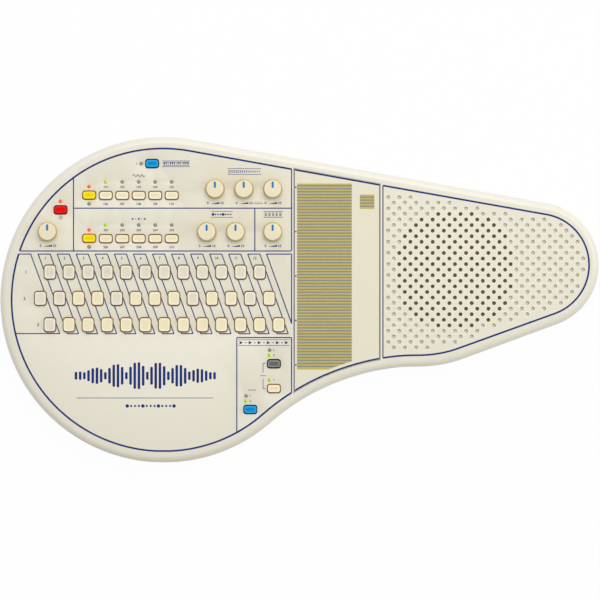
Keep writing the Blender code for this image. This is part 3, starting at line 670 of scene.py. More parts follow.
def dimple(form, x, y):
    """A blind dish where the grille's pattern runs on past the speaker, in a ring of painted highlight and
    filled with painted shade. Gives its first ring.
    """
    profile = halo(HOLE_RADIUS)
    for out, down in fillet(HOLE_CHAMFER, DISH_EDGE_STEPS):
        profile.append((HOLE_RADIUS + out, PANEL_Z - down, down / HOLE_CHAMFER + HALO_HIGHLIGHT))
    for share, deep, tone in DISH_RINGS:
        profile.append((HOLE_RADIUS * share, PANEL_Z - DIMPLE_DEPTH * deep, tone))
    rings = []
    for radius, z, tone in profile:
        lean = DISH_SHADE_LEAN * max(0.0, tone) / HOLE_RADIUS

        def leant(px, py, tone=tone, lean=lean):
            return tone + lean * (px - x + py - y)

        rings.append(form.ring(circle(x, y, radius, HOLE_STEPS), z, leant))
    form.skin(rings)
    form.lid(rings[-1])
    return rings[0]


def strum_outline(inset, margin):
    """The strum plate's shape: a strip across the neck, cut along the case's own outline."""
    return strip_of(outline(inset), strum_low.x - margin, strum_high.x + margin)


def case_side():
    """Inset, height and tone of each ring of the upper shell, from under the panel round to its face."""
    edge_z = PANEL_Z - RIM_RADIUS
    low_z = PARTING_Z + PARTING_GAP
    profile = [
        (WALL + INNER_CHAMFER, UNDER_PANEL_Z, 0),
        (WALL, UNDER_PANEL_Z - INNER_CHAMFER, 0),
        (WALL, low_z, 0),
        (PARTING_CHAMFER, low_z, 0),
        (0.0, low_z + PARTING_CHAMFER, 0),
    ]
    for turn in quarter(RIM_STEPS):
        # Painted highlight on the rim, strongest on the far side; at the nearest side it turns to a little
        # painted shade.
        shine = min(1.0, RIM_SHINE * math.sin(turn) * math.cos(turn) ** 0.5)

        def tone(x, y, shine=shine):
            far = (y - NOSE_Y * max(0.0, (x - BODY_X) / (NOSE_X - BODY_X))) / RIM_FADE
            return -shine * min(1.0, max(RIM_DULL, RIM_MIDDLE + far))

        profile.append((RIM_RADIUS * (1 - math.cos(turn)), edge_z + RIM_RADIUS * math.sin(turn), tone))
    return profile + [(RIM_RADIUS + LAND, PANEL_Z, 0)]


def top_case():
    """The closed shell with its wells, holes and dishes and the seat of the strum plate."""
    form = Form()
    shell = form.tube(case_side(), outline)
    openings = [well(form, *place, CHORD_SIZE, CHORD_CORNER) for place in chord_places.values()]
    openings += [well(form, *place, CAP_SIZE, CAP_CORNER) for place in cap_places]
    for place in knob_places.values():
        openings.append(round_hole(form, *place, SHAFT_HOLE, SHAFT_EDGE, SHAFT_STEPS))
    for place in sum(lamps.values(), []):
        openings.append(round_hole(form, *place, LAMP_HOLE, LAMP_EDGE, HOLE_STEPS))
    for place in through_holes:
        openings.append(round_hole(form, *place, HOLE_RADIUS, HOLE_CHAMFER, HOLE_STEPS, bright=True))
    above = [first for first, last in openings] + [dimple(form, *place) for place in dimples]
    # The seat's wall and floor, round the plate, are in painted shade.
    seat_profile = [(STRUM_SEAT, PANEL_Z, 0.0), (STRUM_SEAT, STRUM_SEAT_Z, 1.0)]
    seat = form.tube(seat_profile, lambda inset: strum_outline(inset, STRUM_GAP))
    form.fill(seat[1])
    form.fill(shell[-1], above + seat[:1])
    form.fill(shell[0], [last for first, last in openings])
    return form


case_plastic = moulded(
    "cream_case_plastic", CASE_COLOUR, 0.36, CASE_PAINTED_SHADE, CASE_PAINTED_HIGHLIGHT, coat_weight=0.25, coat_roughness=0.3
)
fit(top_case().made("top_case_moulding", case_plastic), "case", "case", "top_case")

# Panel print
# Lines, frames, figures and signs, screen printed in navy on the finished moulding before the keys go in.
# Words and names are left out: plain figures and signs of a like size stand in their places.

NAVY = (18, 44, 116)
PRINT_DEPTH = 0.03
# The border inside the rim and the frames round the groups of controls.
BORDER_INSET = 11.5
BORDER_LINE = 1.8
FRAME_LINE = 1.1
BORDER_STEP = 1.8
LEFT_FRAME_X = -7.9
SPEAKER_FRAME_X = 83.5
UPPER_FRAME_LOW = 48.75
LOWER_FRAME_HIGH = 45.75
KNOB_FRAME_Y = 91.55
POWER_FRAME_X = -225.95
CHORD_FRAME_X = -44.65
CONTROL_FRAME = (-62.65, -37.85)
# The slanted frames behind the chord keys, and the half frames left and right of them.
COLUMNS = 12
COLUMN_TOP, COLUMN_BOTTOM = 45.65, -33.95
COLUMN_LEFT = -261.35
COLUMN_WIDTH, COLUMN_FOOT_WIDTH = 12.1, 11.2
COLUMN_SLANT = 29.3
COLUMN_LINE = 1.05
LEFT_HALF_TOP, LEFT_HALF_FOOT = -268.75, -239.75
LEFT_HALF_RISE = 0.15
RIGHT_HALF_X, RIGHT_HALF_LOW = -32.85, -23.6
# How round the corners are in the upper frames, the control frame and the slanted frames.
FRAME_ROUND, CONTROL_ROUND, COLUMN_ROUND = 1.5, 0.8, 0.5
TITLE_HALF = 2.9
TITLE_LINE = 0.5
# A figure's height is this share of its type size, and its strokes are made a little bolder.
FIGURE_SHARE = 0.73
FIGURE_BOLD = 0.035
KEY_FIGURE, ROW_FIGURE, CAP_FIGURE, KNOB_FIGURE, LAMP_FIGURE = 2.7, 3.0, 2.4, 2.6, 2.2
# Steps to the figures from the tops of the columns, the middles of the caps and the keyboard key.
KEY_FIGURE_STEP = (-4.6, -4.0)
CAP_FIGURE_STEPS = (8.6, -8.4)
KEYBOARD_FIGURE = -15.4
ROW_FIGURES_X = {"major": -273.4, "minor": -275.0, "seventh": -261.4}
# A knob's scale: how far below the knob it lies, how far to each side its figures stand, and its wedge.
SCALE_DOWN = 14.1
SCALE_REACH = 7.2
WEDGE_LEFT, WEDGE_RIGHT, WEDGE_HALF = -4.6, 4.4, 0.9
# Small signs near the keys: the power sign, a wave or dots over a strip, brackets, a rule and more dots.
POWER_SIGN_DOWN, POWER_BAR_DOWN, POWER_SIGN_RADIUS, POWER_SIGN_LINE = 7.6, 6.5, 1.6, 0.55
POWER_SIGN_ARC, POWER_SIGN_STEPS = (125, 415), 16
POWER_BAR = 2.0
STRIP_SIGN_STEP = (-6, 19.8)
WAVE_STEP, WAVE_STEPS, WAVE_HALF = 0.5, 24, 1.1
BEAT_PITCH, BEAT_RADII = 3, (0.95, 0.5, 0.95, 0.5, 0.95)
SIGN_LINE = 0.6
DOT_STEPS = 12
SMALL_DOT, SMALL_PITCH = 0.6, 2
BRACKET_ASIDE, BRACKET_ARM = 10.8, 2.4
BRACKETS_Y = ((-63.55, -72.75), (-88.85, -78.95))
MODE_DOTS_Y = -75.9
HOLD_DOTS = (-50.4, -90.3)
RULE = ((-45.9, 96.1), (-36.4, 96.1))
RULE_LINE = 0.45
RULE_DOTS = (-44.1, 97.6)


def mitred(points, closed):
    """For each point, the step across the line that keeps a parallel line at a distance of 1."""
    steps = []
    count = len(points)
    for i, here in enumerate(points):
        ahead = points[(i + 1) % count] if closed or i < count - 1 else None
        behind = points[i - 1] if closed or i else None
        ahead = (ahead - here).normalized() if ahead else (here - behind).normalized()
        behind = (here - behind).normalized() if behind else ahead
        across = Vector((-ahead.y - behind.y, ahead.x + behind.x)).normalized()
        steps.append(across / max(0.35, across.dot(Vector((-ahead.y, ahead.x)))))
    return steps


def grown(points, amount):
    """A closed outline, counterclockwise, moved outwards all round."""
    points = [Vector(point) for point in points]
    return [tuple(point - step * amount) for point, step in zip(points, mitred(points, True))]


def line(points, width, closed=False, upright=None):
    """Quads along a line, mitred where it bends. Upright stretches may have a width of their own."""
    points = [Vector(point) for point in points]
    steps = mitred(points, closed)
    quads = []
    for i in range(len(points) if closed else len(points) - 1):
        j = (i + 1) % len(points)
        half = (upright if upright and abs(points[i].x - points[j].x) < TIGHT else width) / 2
        here, there = steps[i] * half, steps[j] * half
        corners = [points[i] - here, points[j] - there, points[j] + there, points[i] + here]
        middle_point = sum(corners, Vector((0, 0))) / 4
        # On the inside of a tight bend the corners cross over, so they are put in order round their middle.
        quads.append(sorted(corners, key=lambda corner: math.atan2(*(corner - middle_point).yx)))
    return quads


def eased(points, radius, closed=False):
    """A line with its sharp corners rounded."""
    points = [Vector(point) for point in points]
    result = []
    for i, here in enumerate(points):
        if not closed and i in (0, len(points) - 1):
            result.append(here)
            continue
        before = (points[i - 1] - here).normalized() * radius
        after = (points[(i + 1) % len(points)] - here).normalized() * radius
        result += [here + before * (1 - t) ** 2 + after * t**2 for t in (0.0, 0.25, 0.5, 0.75, 1.0)]
    return result


def stretch(inset, left=-math.inf, right=math.inf, low=-math.inf, high=math.inf):
    """The stretch of the case's outline that lies within a box."""
    points = side_of(side_of(outline(inset), left, 1), right, -1)
    points = side_of(side_of(points, low, 1, 1), high, -1, 1)
    ends = [i for i, (x, y) in enumerate(points) if x in (left, right) or y in (low, high)]
    start = next(i for i in ends if (i + 1) % len(points) not in ends)
    length = next(i for i in range(1, len(points)) if (start + i) % len(points) in ends)
    return [points[(start + i) % len(points)] for i in range(length + 1)]


def bar(x, y, width, height):
    """A rectangle, counterclockwise."""
    left, right, low, high = x - width / 2, x + width / 2, y - height / 2, y + height / 2
    return [(left, low), (right, low), (right, high), (left, high)]


def dots(x, y, pitch, radii, steps=DOT_STEPS):
    """A row of dots from its left end, one for each radius."""
    return [circle(x + pitch * i, y, radius, steps) for i, radius in enumerate(radii)]


def spread_over(left, right, margin, count):
    """Places spread evenly from one margin to the other."""
    span = right - left - 2 * margin
    return [left + margin + span * i / (count - 1) for i in range(count)]


def figures(text, x, y, height):
    """Triangles of printed figures, centred on a place."""
    curve = bpy.data.curves.new("figures", "FONT")
    curve.body = text
    curve.size = height / FIGURE_SHARE
    curve.offset = FIGURE_BOLD * height
    curve.resolution_u = 2
    holder = bpy.data.objects.new("figures", curve)
    outlines = bpy.data.meshes.new_from_object(holder)
    outlines.calc_loop_triangles()
    places = [vertex.co.xy for vertex in outlines.vertices]
    centre = Vector([(min(p[k] for p in places) + max(p[k] for p in places)) / 2 for k in (0, 1)])
    triangles = []
    for triangle in outlines.loop_triangles:
        corners = [places[i] - centre + Vector((x, y)) for i in triangle.vertices]
        side, other = corners[1] - corners[0], corners[2] - corners[0]
        if abs(side.cross(other)) > TIGHT:
            triangles.append(corners if side.cross(other) > 0 else corners[::-1])
    bpy.data.objects.remove(holder)
    return triangles


def frames():
    """The border inside the rim and the frames round the groups of controls."""
    high = stretch(BORDER_INSET, right=LEFT_FRAME_X, low=UPPER_FRAME_LOW)
    low = stretch(BORDER_INSET, right=LEFT_FRAME_X, high=LOWER_FRAME_HIGH)
    marks = line(high, BORDER_LINE) + line(low, BORDER_LINE)
    corner = (LEFT_FRAME_X, UPPER_FRAME_LOW)
    marks += line(eased([high[-1], corner, high[0]], FRAME_ROUND), FRAME_LINE)
    foot = stretch(BORDER_INSET, left=CONTROL_FRAME[0], right=LEFT_FRAME_X, high=CONTROL_FRAME[1])
    box_line = [foot[0], CONTROL_FRAME, (LEFT_FRAME_X, CONTROL_FRAME[1]), foot[-1]]
    marks += line(eased(box_line, CONTROL_ROUND), FRAME_LINE)
    nose = drawn_out(stretch(BORDER_INSET, left=SPEAKER_FRAME_X), BORDER_STEP)
    marks += line(nose, BORDER_LINE) + line([nose[-1], nose[0]], FRAME_LINE)
    power_end = stretch(BORDER_INSET, left=POWER_FRAME_X, low=0)[-1]
    marks += line([(POWER_FRAME_X, UPPER_FRAME_LOW), power_end], FRAME_LINE)
    marks += line([(POWER_FRAME_X, KNOB_FRAME_Y), (LEFT_FRAME_X, KNOB_FRAME_Y)], FRAME_LINE)
    marks += line([(CHORD_FRAME_X, KNOB_FRAME_Y), (CHORD_FRAME_X, UPPER_FRAME_LOW)], FRAME_LINE)
    return marks


def columns():
    """A slanted frame behind each column of chord keys, and the half frames at both ends."""
    marks = []
    first, last = chord_places["chord_key_major_01"], chord_places["chord_key_major_12"]
    pitch = (last[0] - first[0]) / (COLUMNS - 1)
    for i in range(COLUMNS):
        x = COLUMN_LEFT + i * pitch
        foot_x = x + COLUMN_SLANT
        feet = [(foot_x, COLUMN_BOTTOM), (foot_x + COLUMN_FOOT_WIDTH, COLUMN_BOTTOM)]
        frame_line = [(x, COLUMN_TOP), *feet, (x + COLUMN_WIDTH, COLUMN_TOP)]
        marks += line(eased(frame_line, COLUMN_ROUND, True), COLUMN_LINE, True)
    left_low = COLUMN_BOTTOM + LEFT_HALF_RISE
    left = stretch(BORDER_INSET, high=LOWER_FRAME_HIGH, low=left_low, right=BODY_X)
    marks += line([left[0], (LEFT_HALF_TOP, COLUMN_TOP), (LEFT_HALF_FOOT, left_low), left[-1]], COLUMN_LINE)
    half_frame = [(RIGHT_HALF_X, COLUMN_TOP), (LEFT_FRAME_X, COLUMN_TOP), (LEFT_FRAME_X, RIGHT_HALF_LOW)]
    marks += line(eased(half_frame, COLUMN_ROUND, True), FRAME_LINE, True)
    return marks


def keyboard_sign(left, right, y):
    """A framed keyboard: upright rules for the white keys and short bars for the black ones."""
    high, margin = 3.4, 2.4
    marks = line(bar(left + (right - left) / 2, y, right - left - margin, high), 0.4, True)
    for i, x in enumerate(spread_over(left, right, margin, 13)):
        marks.append(bar(x, y, 0.35, high))
        if i % 7 not in (2, 6):
            marks.append(bar(x, y + 0.75, 1.15, 1.9))
    return marks


def strings_sign(left, right, y):
    """Upright bars that get shorter, as a harp's strings do."""
    places = spread_over(left, right, 1.6, 17)
    return [bar(x, y, 0.75, 3.6 - 0.13 * i) for i, x in enumerate(places)]


def beats_sign(left, right, y):
    """Eight dots, of which every fourth is a strong beat."""
    places = spread_over(left, right, 2.2, 8)
    return [circle(x, y, 1.45 if i % 4 == 0 else 0.85, 14) for i, x in enumerate(places)]


def stack_sign(left, right, y):
    """Columns of three short bars, like the notes of chords."""
    return [bar(x, y + j * 1.35, 2.4, 0.7) for x in spread_over(left, right, 2.4, 5) for j in (-1, 0, 1)]


def arrows_sign(left, right, y):
    """Arrow heads with a short bar between each two."""
    marks = []
    for i, x in enumerate(spread_over(left, right, 3, 11)):
        head = [(x - 1.6, y - 1.75), (x + 1.7, y), (x - 1.6, y + 1.75)]
        marks.append(bar(x, y, 1.6, 0.8) if i % 2 else head)
    return marks


# Each group's sign with its left end, its right end and its Y.
TITLES = (
    (keyboard_sign, -137.25, -109.25, 135.95),
    (strings_sign, -71.95, -38.25, 128.2),
    (beats_sign, -88.65, -66.65, 85.35),
    (stack_sign, -36.05, -16.65, 85.35),
    (arrows_sign, -61.25, -9.85, -42.95),
)


def titles():
    """A sign between two rules over each group of controls."""
    marks = []
    for sign, left, right, y in TITLES:
        for rule_y in (y - TITLE_HALF, y + TITLE_HALF):
            marks += line([(left, rule_y), (right, rule_y)], TITLE_LINE)
        marks += sign(left, right, y)
    return marks


def key_figures():
    """Figures over the columns of chord keys, before their rows, and beyond and below each strip's caps."""
    marks = []
    for i in range(COLUMNS):
        x = chord_places[f"chord_key_major_{i + 1:02d}"][0] + KEY_FIGURE_STEP[0]
        marks += figures(str(i + 1), x, COLUMN_TOP + KEY_FIGURE_STEP[1], KEY_FIGURE)
    for row, (kind, x) in enumerate(ROW_FIGURES_X.items()):
        marks += figures(str(row + 1), x, chord_places[f"chord_key_{kind}_01"][1], ROW_FIGURE)
    for row, strip in enumerate(key_strips):
        for i, (x, y) in enumerate(caps(strip)):
            first = 100 * (row + 1) + i + 1
            for number, step in zip((first, first + STRIP_CAPS), CAP_FIGURE_STEPS):
                marks += figures(str(number), x, y + step, CAP_FIGURE)
    return marks


def knob_scales():
    """A wedge from 0 to 10 below each knob."""
    marks = []
    for x, y in knob_places.values():
        middle_y = y - SCALE_DOWN
        marks += figures("0", x - SCALE_REACH, middle_y, KNOB_FIGURE)
        marks += figures("10", x + SCALE_REACH, middle_y, KNOB_FIGURE)
        left, right, low, high = x + WEDGE_LEFT, x + WEDGE_RIGHT, middle_y - WEDGE_HALF, middle_y + WEDGE_HALF
        marks.append([(left, low), (right, low), (right, high)])
    return marks


def lamp_signs():
    """The power sign, figures beside the lamps, and a wave and dots for voices and patterns."""
    x, y = middle("power_key")
    ends = [math.radians(angle) for angle in POWER_SIGN_ARC]
    ring = arc((x, y - POWER_SIGN_DOWN), POWER_SIGN_RADIUS, *ends, POWER_SIGN_STEPS)
    marks = line(ring, POWER_SIGN_LINE) + [bar(x, y - POWER_BAR_DOWN, POWER_SIGN_LINE, POWER_BAR)]
    for name, count in (("chord_mode_key", 2), ("rhythm_start_key", 2), ("chord_hold_key", 1)):
        x, y = middle(name)
        for i in range(count):
            up = LAMP_NEAR + i * (LAMP_FAR - LAMP_NEAR)
            marks += figures(str(count - i), x - 0.1, y + up, LAMP_FIGURE)
    x, y = middle("keyboard_key")
    marks += figures("1", x + KEYBOARD_FIGURE, y, LAMP_FIGURE)
    (wave_x, wave_y), dots_place = [beside(caps(strip)[2], *STRIP_SIGN_STEP) for strip in key_strips]
    heights = [WAVE_HALF * math.sin(i * math.pi / 4) for i in range(WAVE_STEPS + 1)]
    wave = [(wave_x + WAVE_STEP * i, wave_y + up) for i, up in enumerate(heights)]
    return marks + line(wave, SIGN_LINE) + dots(*dots_place, BEAT_PITCH, BEAT_RADII)


def brackets():
    """Two brackets left of the chord mode key, rows of dots, and a rule with dots between two knobs."""
    marks = []
    left = middle("chord_mode_key")[0] - BRACKET_ASIDE
    for corner, end in BRACKETS_Y:
        marks += line([(left + BRACKET_ARM, corner), (left, corner), (left, end)], SIGN_LINE)
    marks += dots(left - SMALL_PITCH, MODE_DOTS_Y, SMALL_PITCH, [SMALL_DOT] * 3)
    marks += dots(*HOLD_DOTS, SMALL_PITCH, [SMALL_DOT] * 4)
    return marks + line(RULE, RULE_LINE) + dots(*RULE_DOTS, SMALL_PITCH, [RULE_LINE] * 4)


# A meter's bars: how many, how far apart, where, how wide and how high, and the rule and dots below.
METER_BARS = 34
METER_PITCH = 4.2
METER_LEFT, METER_Y = -223.5, -76.0
METER_BAR_RADIUS = 1.3
METER_LEAST, METER_SWING = 7, 21
METER_BEAT, METER_START = 0.62, 0.4
METER_RULE = ((-222.8, -98.2), (-86.2, -98.2))
METER_DOTS = (-172.2, -106.2)
METER_DOT_PITCH, METER_DOT_STEPS = 3.9, 18
METER_DOT_RADII = [1.75, 1.1, 1.1, 1.1] * 3 + [1.75]


def sound_sign():
    """A run of upright bars like a meter's, with a fine row of dots below it, low on the body."""
    marks = []
    for i in range(METER_BARS):
        x = METER_LEFT + i * METER_PITCH
        loudness = math.sin(math.pi * (i + 0.5) / METER_BARS)
        height = METER_LEAST + METER_SWING * loudness * abs(math.cos(i * METER_BEAT + METER_START))
        rise = height / 2 - METER_BAR_RADIUS
        upper = arc((x, METER_Y + rise), METER_BAR_RADIUS, 0, math.pi, 8)
        marks.append(upper + arc((x, METER_Y - rise), METER_BAR_RADIUS, math.pi, 2 * math.pi, 8))
    marks += dots(*METER_DOTS, METER_DOT_PITCH, METER_DOT_RADII, METER_DOT_STEPS)
    return marks + line(METER_RULE, SIGN_LINE)


def openings_in_print():
    """The outlines of the wells, where no ink lies."""
    spread = 2 * (CLEARANCE + WELL_FILLET)
    chord_well = [side + spread for side in CHORD_SIZE]
    cap_well = [side + spread for side in CAP_SIZE]
    wells = [rounded(*place, *chord_well, CHORD_CORNER) for place in chord_places.values()]
    return wells + [rounded(*place, *cap_well, CAP_CORNER) for place in cap_places]


def printed(name, colour, marks, holes, face_z, within=None):
    """A thin layer of ink over the marks on a face, a little cloudy."""
    form = Form()
    form.layer(marks, holes, face_z - PRINT_DEPTH, face_z + PRINT_DEPTH, within)
    ink = Finish(name + "_ink", colour, 0.5, specular_ior_level=0.15)
    wear = ink.noise(size=2.5, detail=3.0)
    ink.feed(ink.shader, {"Base Color": ink.blend(wear, ink.shaded(-0.08), ink.shaded(0.12))})
    ink.dented(ink.noise(size=0.5, detail=3.0), depth=0.006)
    return form.made(name, ink.material)


panel_marks = frames() + columns() + titles() + key_figures() + knob_scales() + lamp_signs() + brackets()
panel_marks += sound_sign()
fit(printed("panel_print", NAVY, panel_marks, openings_in_print(), PANEL_Z), "case", "print_navy")

# Strum plate
# A touch plate of cream film on a stiff back, let into a seat in the panel and glued down. Gold and grey
# stripes are printed across it, one for each string, with a navy line along its edge.

STRUM_FACE = strum_high.z
STRUM_BACK = strum_low.z
FILM_COLOUR = (231, 224, 201)
GOLD = (197, 180, 96)
GREY = (138, 142, 138)
PLATE_SOFT = 0.25
PLATE_EDGE = 0.15
# The field of stripes, and beyond its last grey stripe a little gold.
STRING_LEFT, STRING_RIGHT = -2.4, 52.35
STRING_HIGH = 116.2
STRING_PITCH = 2.961
STRINGS = 62
STRING_INSET = 15.2
LAST_STRING = 2.45
# A small square of the same stripes beside the field.
SQUARE_X, SQUARE_Y = 67.65, 98.0
SQUARE_WIDTH, SQUARE_HEIGHT = 14.5, 14.3
SQUARE_GREYS = (102.55, 99.6, 96.65, 93.65)
SQUARE_GREY = 1.4
# The navy line along the edge, thinner on its long sides, and the square ticks that count the strings.
EDGE_LINE_INSET = 0.8
EDGE_LINE, EDGE_SIDE_LINE = 1.75, 0.7
TICK_X, TICK = -3.6, 1.5
TICKS_Y = (112.45, 68.15, 23.75, -20.65, -65.15)

plate_line = strum_outline(STRUM_SEAT + STRUM_GAP, 0.0)


def strum_plate():
    """The plate, with soft edges."""
    form = Form()
    profile = [(PLATE_SOFT, STRUM_BACK), (0.0, STRUM_BACK + PLATE_SOFT)]
    profile += [(0.0, STRUM_FACE - PLATE_EDGE), (PLATE_EDGE, STRUM_FACE)]
    form.stack(profile, lambda inset: grown(plate_line, -inset))
    return form


film = moulded("strum_plate_film", FILM_COLOUR, 0.42, grain=0.7, depth=0.006, cloud=0.015)
fit(strum_plate().made("strum_plate_film", film), "case", "strum_film", "strum_plate")

string_x, string_width = (STRING_LEFT + STRING_RIGHT) / 2, STRING_RIGHT - STRING_LEFT
field_high = STRINGS * STRING_PITCH + LAST_STRING
gold_marks = [bar(string_x, STRING_HIGH - field_high / 2, string_width, field_high)]
gold_marks.append(bar(SQUARE_X, SQUARE_Y, SQUARE_WIDTH, SQUARE_HEIGHT))
grey_rows = [STRING_HIGH - STRING_PITCH * (i + 0.75) for i in range(STRINGS)]
grey_marks = [bar(string_x, y, string_width, STRING_PITCH / 2) for y in grey_rows]
grey_marks += [bar(SQUARE_X, y, SQUARE_WIDTH, SQUARE_GREY) for y in SQUARE_GREYS]
edge_line = strip_of(outline(BORDER_INSET), strum_low.x + EDGE_LINE_INSET, strum_high.x - EDGE_LINE_INSET)
edge_marks = line(edge_line, EDGE_LINE, True, EDGE_SIDE_LINE) + [bar(TICK_X, y, TICK, TICK) for y in TICKS_Y]
inner = outline(STRING_INSET)
gold_stripes = printed("strum_stripes_gold", GOLD, gold_marks, grey_marks, STRUM_FACE, inner)
fit(gold_stripes, "case", "strum_film")
fit(printed("strum_stripes_grey", GREY, grey_marks, [], STRUM_FACE, inner), "case", "strum_film")
fit(printed("strum_plate_line", NAVY, edge_marks, [], STRUM_FACE), "case", "print_navy")

# Speaker
# A 120 mm loudspeaker under the grille: a pressed steel basket, a brown paper cone on a rolled surround and
# a ferrite magnet behind. A stiff brown card of fibre, glued under the grille, keeps dust out of it.

SPEAKER_TOP = box("speaker")[1].z
CONE_COLOUR = (158, 128, 66)
STEEL_COLOUR = (96, 92, 84)
# The paper ends and the steel starts at this distance from a point this far below the top.
STEEL_FROM = 53.2
STEEL_MIDDLE_DOWN = 4.0
CONE_STEPS = 72
SCREEN_RADIUS = 63.2
SCREEN_COLOUR = (138, 122, 66)
SCREEN_TOP, SCREEN_LOW = 0.05, 0.25
# Radius and depth of each ring of the unit, from the dust cap outwards and round to the magnet's back.
DUST_CAP = [(0.6, 8.2), (4.0, 8.4), (8.0, 9.4), (11.0, 10.8), (13.2, 12.6), (14.0, 13.2)]
CONE = [(20.0, 10.8), (30.0, 7.6), (40.0, 4.9), (46.5, 3.4)]
SURROUND = [(47.5, 2.6), (49.0, 1.9), (51.0, 1.9), (52.6, 2.6), (53.4, 2.0), (53.6, 0.2)]
FLANGE = [(54.0, 0.0), (59.4, 0.0), (60.0, 0.5), (60.0, 1.8), (59.2, 2.2), (55.0, 2.4)]
BASKET = [(52.0, 5.0), (44.0, 12.0), (34.0, 18.6)]
MAGNET = [(30.0, 20.2), (30.0, 32.2), (29.2, 33.0), (6.0, 33.0), (5.0, 31.5)]
UNIT = DUST_CAP + CONE + SURROUND + FLANGE + BASKET + MAGNET


def speaker_unit():
    """The whole unit as one turned solid."""
    form = Form()
    profile = [(radius, SPEAKER_TOP - down) for radius, down in UNIT]
    form.stack(profile, round_about(*SPEAKER, CONE_STEPS))
    return form


screen = Form()
screen_profile = [(SCREEN_RADIUS, UNDER_PANEL_Z - down) for down in (SCREEN_LOW, SCREEN_TOP)]
screen.stack(screen_profile, round_about(*SPEAKER, CONE_STEPS))
card = Finish("brown_dust_screen", SCREEN_COLOUR, 0.85)
threads = card.noise(size=0.35, detail=3.0)
card.feed(card.shader, {"Base Color": card.blend(threads, card.shaded(-0.3), card.shaded(0.25))})
card.dented(threads, depth=0.04)
fit(screen.made("speaker_dust_screen", card.material), "case", "speaker_cone")

cone = Finish("speaker_paper_and_steel", CONE_COLOUR, 0.75)
fibres = cone.noise(size=1.1, detail=5.0)
steel_middle = Vector((*SPEAKER, SPEAKER_TOP - STEEL_MIDDLE_DOWN)) * MM
distance = {0: cone.place, 1: steel_middle}
from_middle = cone.add("ShaderNodeVectorMath", {"operation": "DISTANCE"}, distance, "Value")
steel = from_middle > STEEL_FROM * MM
paper = cone.blend(fibres, cone.shaded(-0.25), cone.shaded(0.2))
colour = cone.blend(steel, paper, linear(STEEL_COLOUR))
cone.feed(cone.shader, {"Base Color": colour, "Roughness": 0.8 - steel * 0.35, "Metallic": steel * 0.6})
cone.dented(fibres, depth=0.08)
fit(speaker_unit().made("speaker_unit", cone.material), "case", "speaker_cone", "speaker")

# Lamps
# Small round lenses over light-emitting diodes on the board, pushed up through holes in the panel. The
# green ones shade to yellow on one side, where the chip shows through.

LAMP_RADIUS = 1.9
LAMP_NECK = 1.6
LAMP_DOWN = 4.0
LAMP_SEAT = 0.02
LAMP_FLANGE = 0.2
LAMP_STAND = 0.75
LAMP_CROWN = 0.35
LAMP_BLUNT = 0.1
LAMP_STEPS = 20
DOME_STEPS = 5
LAMP_COLOURS = {"lamp_green": (136, 206, 44), "lamp_red": (246, 74, 58), "lamp_dark": (150, 140, 112)}
LAMP_HEARTS = {"lamp_green": (226, 226, 12), "lamp_red": (255, 120, 92), "lamp_dark": (156, 146, 118)}
LAMP_GLOW = {"lamp_green": 0.06, "lamp_red": 0.08, "lamp_dark": 0.0}


def lenses(places):
    """A domed lens on a neck at each place. Its tone runs from one side to the other."""
    form = Form()
    profile = [(LAMP_NECK, -LAMP_DOWN), (LAMP_NECK, LAMP_SEAT), (LAMP_RADIUS, LAMP_SEAT)]
    for turn in quarter(DOME_STEPS)[:-1]:
        radius = LAMP_RADIUS * math.cos(turn) + LAMP_BLUNT * math.sin(turn)
        profile.append((radius, LAMP_FLANGE + (LAMP_STAND - LAMP_FLANGE) * math.sin(turn)))
    profile.append((LAMP_CROWN, LAMP_STAND))
    for x, y in places:

        def across(px, py, x=x):
            return (px - x) / LAMP_RADIUS

        form.stack([(radius, PANEL_Z + z, across) for radius, z in profile], round_about(x, y, LAMP_STEPS))
    return form


for slot, places in lamps.items():
    lens = Finish(slot + "_lens", LAMP_COLOURS[slot], 0.3, coat_weight=0.1, specular_ior_level=0.25)
    heart = lens.tone() * 1.2 + lens.noise(size=1.3, detail=0.0) * 0.6 + 0.1
    colour = lens.blend(heart, lens.colour, linear(LAMP_HEARTS[slot]))
    glow = {"Emission Color": colour, "Emission Strength": LAMP_GLOW[slot]}
    lens.feed(lens.shader, {"Base Color": colour, **glow})
    lens.dented(lens.noise(size=0.3), depth=0.005)
    fit(lenses(places).made(slot + "_lenses", lens.material), "case", slot)

# Chord keys
# Thirty-eight moulded caps on rubber contacts under the panel, warm grey and cream, each held by a lip
# below its well. Their tops are slightly dished, and the first four major keys carry moulded marks.

KEY_FILLET = 0.8
# How far a cap's sides lean in, across its width and across its depth.
CHORD_DRAFT = (0.58, 0.95)
CAP_DRAFT = (0.65, 0.9)
# Tones round the edge, from the side to the top: a painted highlight below 0.
EDGE_TONES = (0.1, -0.2, -0.8, -1.0, -1.0, -1.0)
KEY_DISH = 0.18
# Rings of the dished top: how far inside the edge, share of the dish's depth, and tone, below 0 a painted
# highlight.
DISHED_TOP = ((0.2, 0.3, -0.7), (1.0, 0.75, 0.0), (2.0, 1.0, 0.0))
# Rings up a cap's side: share of the draft, height over the panel, and tone of painted shade.
CAP_SIDE = ((0.05, -1.4, 1), (0.9, -0.9, 1), (0.95, 0.0, 0.9), (0.98, 0.5, 0.1))
LIP_DOWN = 0.3
LIP_CORNER = 0.6
# The keys' faces, the painted shade on their sides and feet, and the painted highlight on their edges.
STONE = (231, 221, 199)
IVORY = (243, 231, 192)
STONE_PAINTED_SHADE = (156, 122, 50)
IVORY_PAINTED_SHADE = (184, 134, 34)
STONE_PAINTED_HIGHLIGHT = (252, 246, 230)
IVORY_PAINTED_HIGHLIGHT = (255, 249, 220)
# The moulded marks stand up from the dish by their height and are sunk into it by their root.
MARKED_KEYS = 4
MARK_HEIGHT = 0.16
MARK_ROOT = 0.2
# The marks take a little painted shade.
MARK_TONE = 0.14
CHORD_CAP_CORNER = 2.6


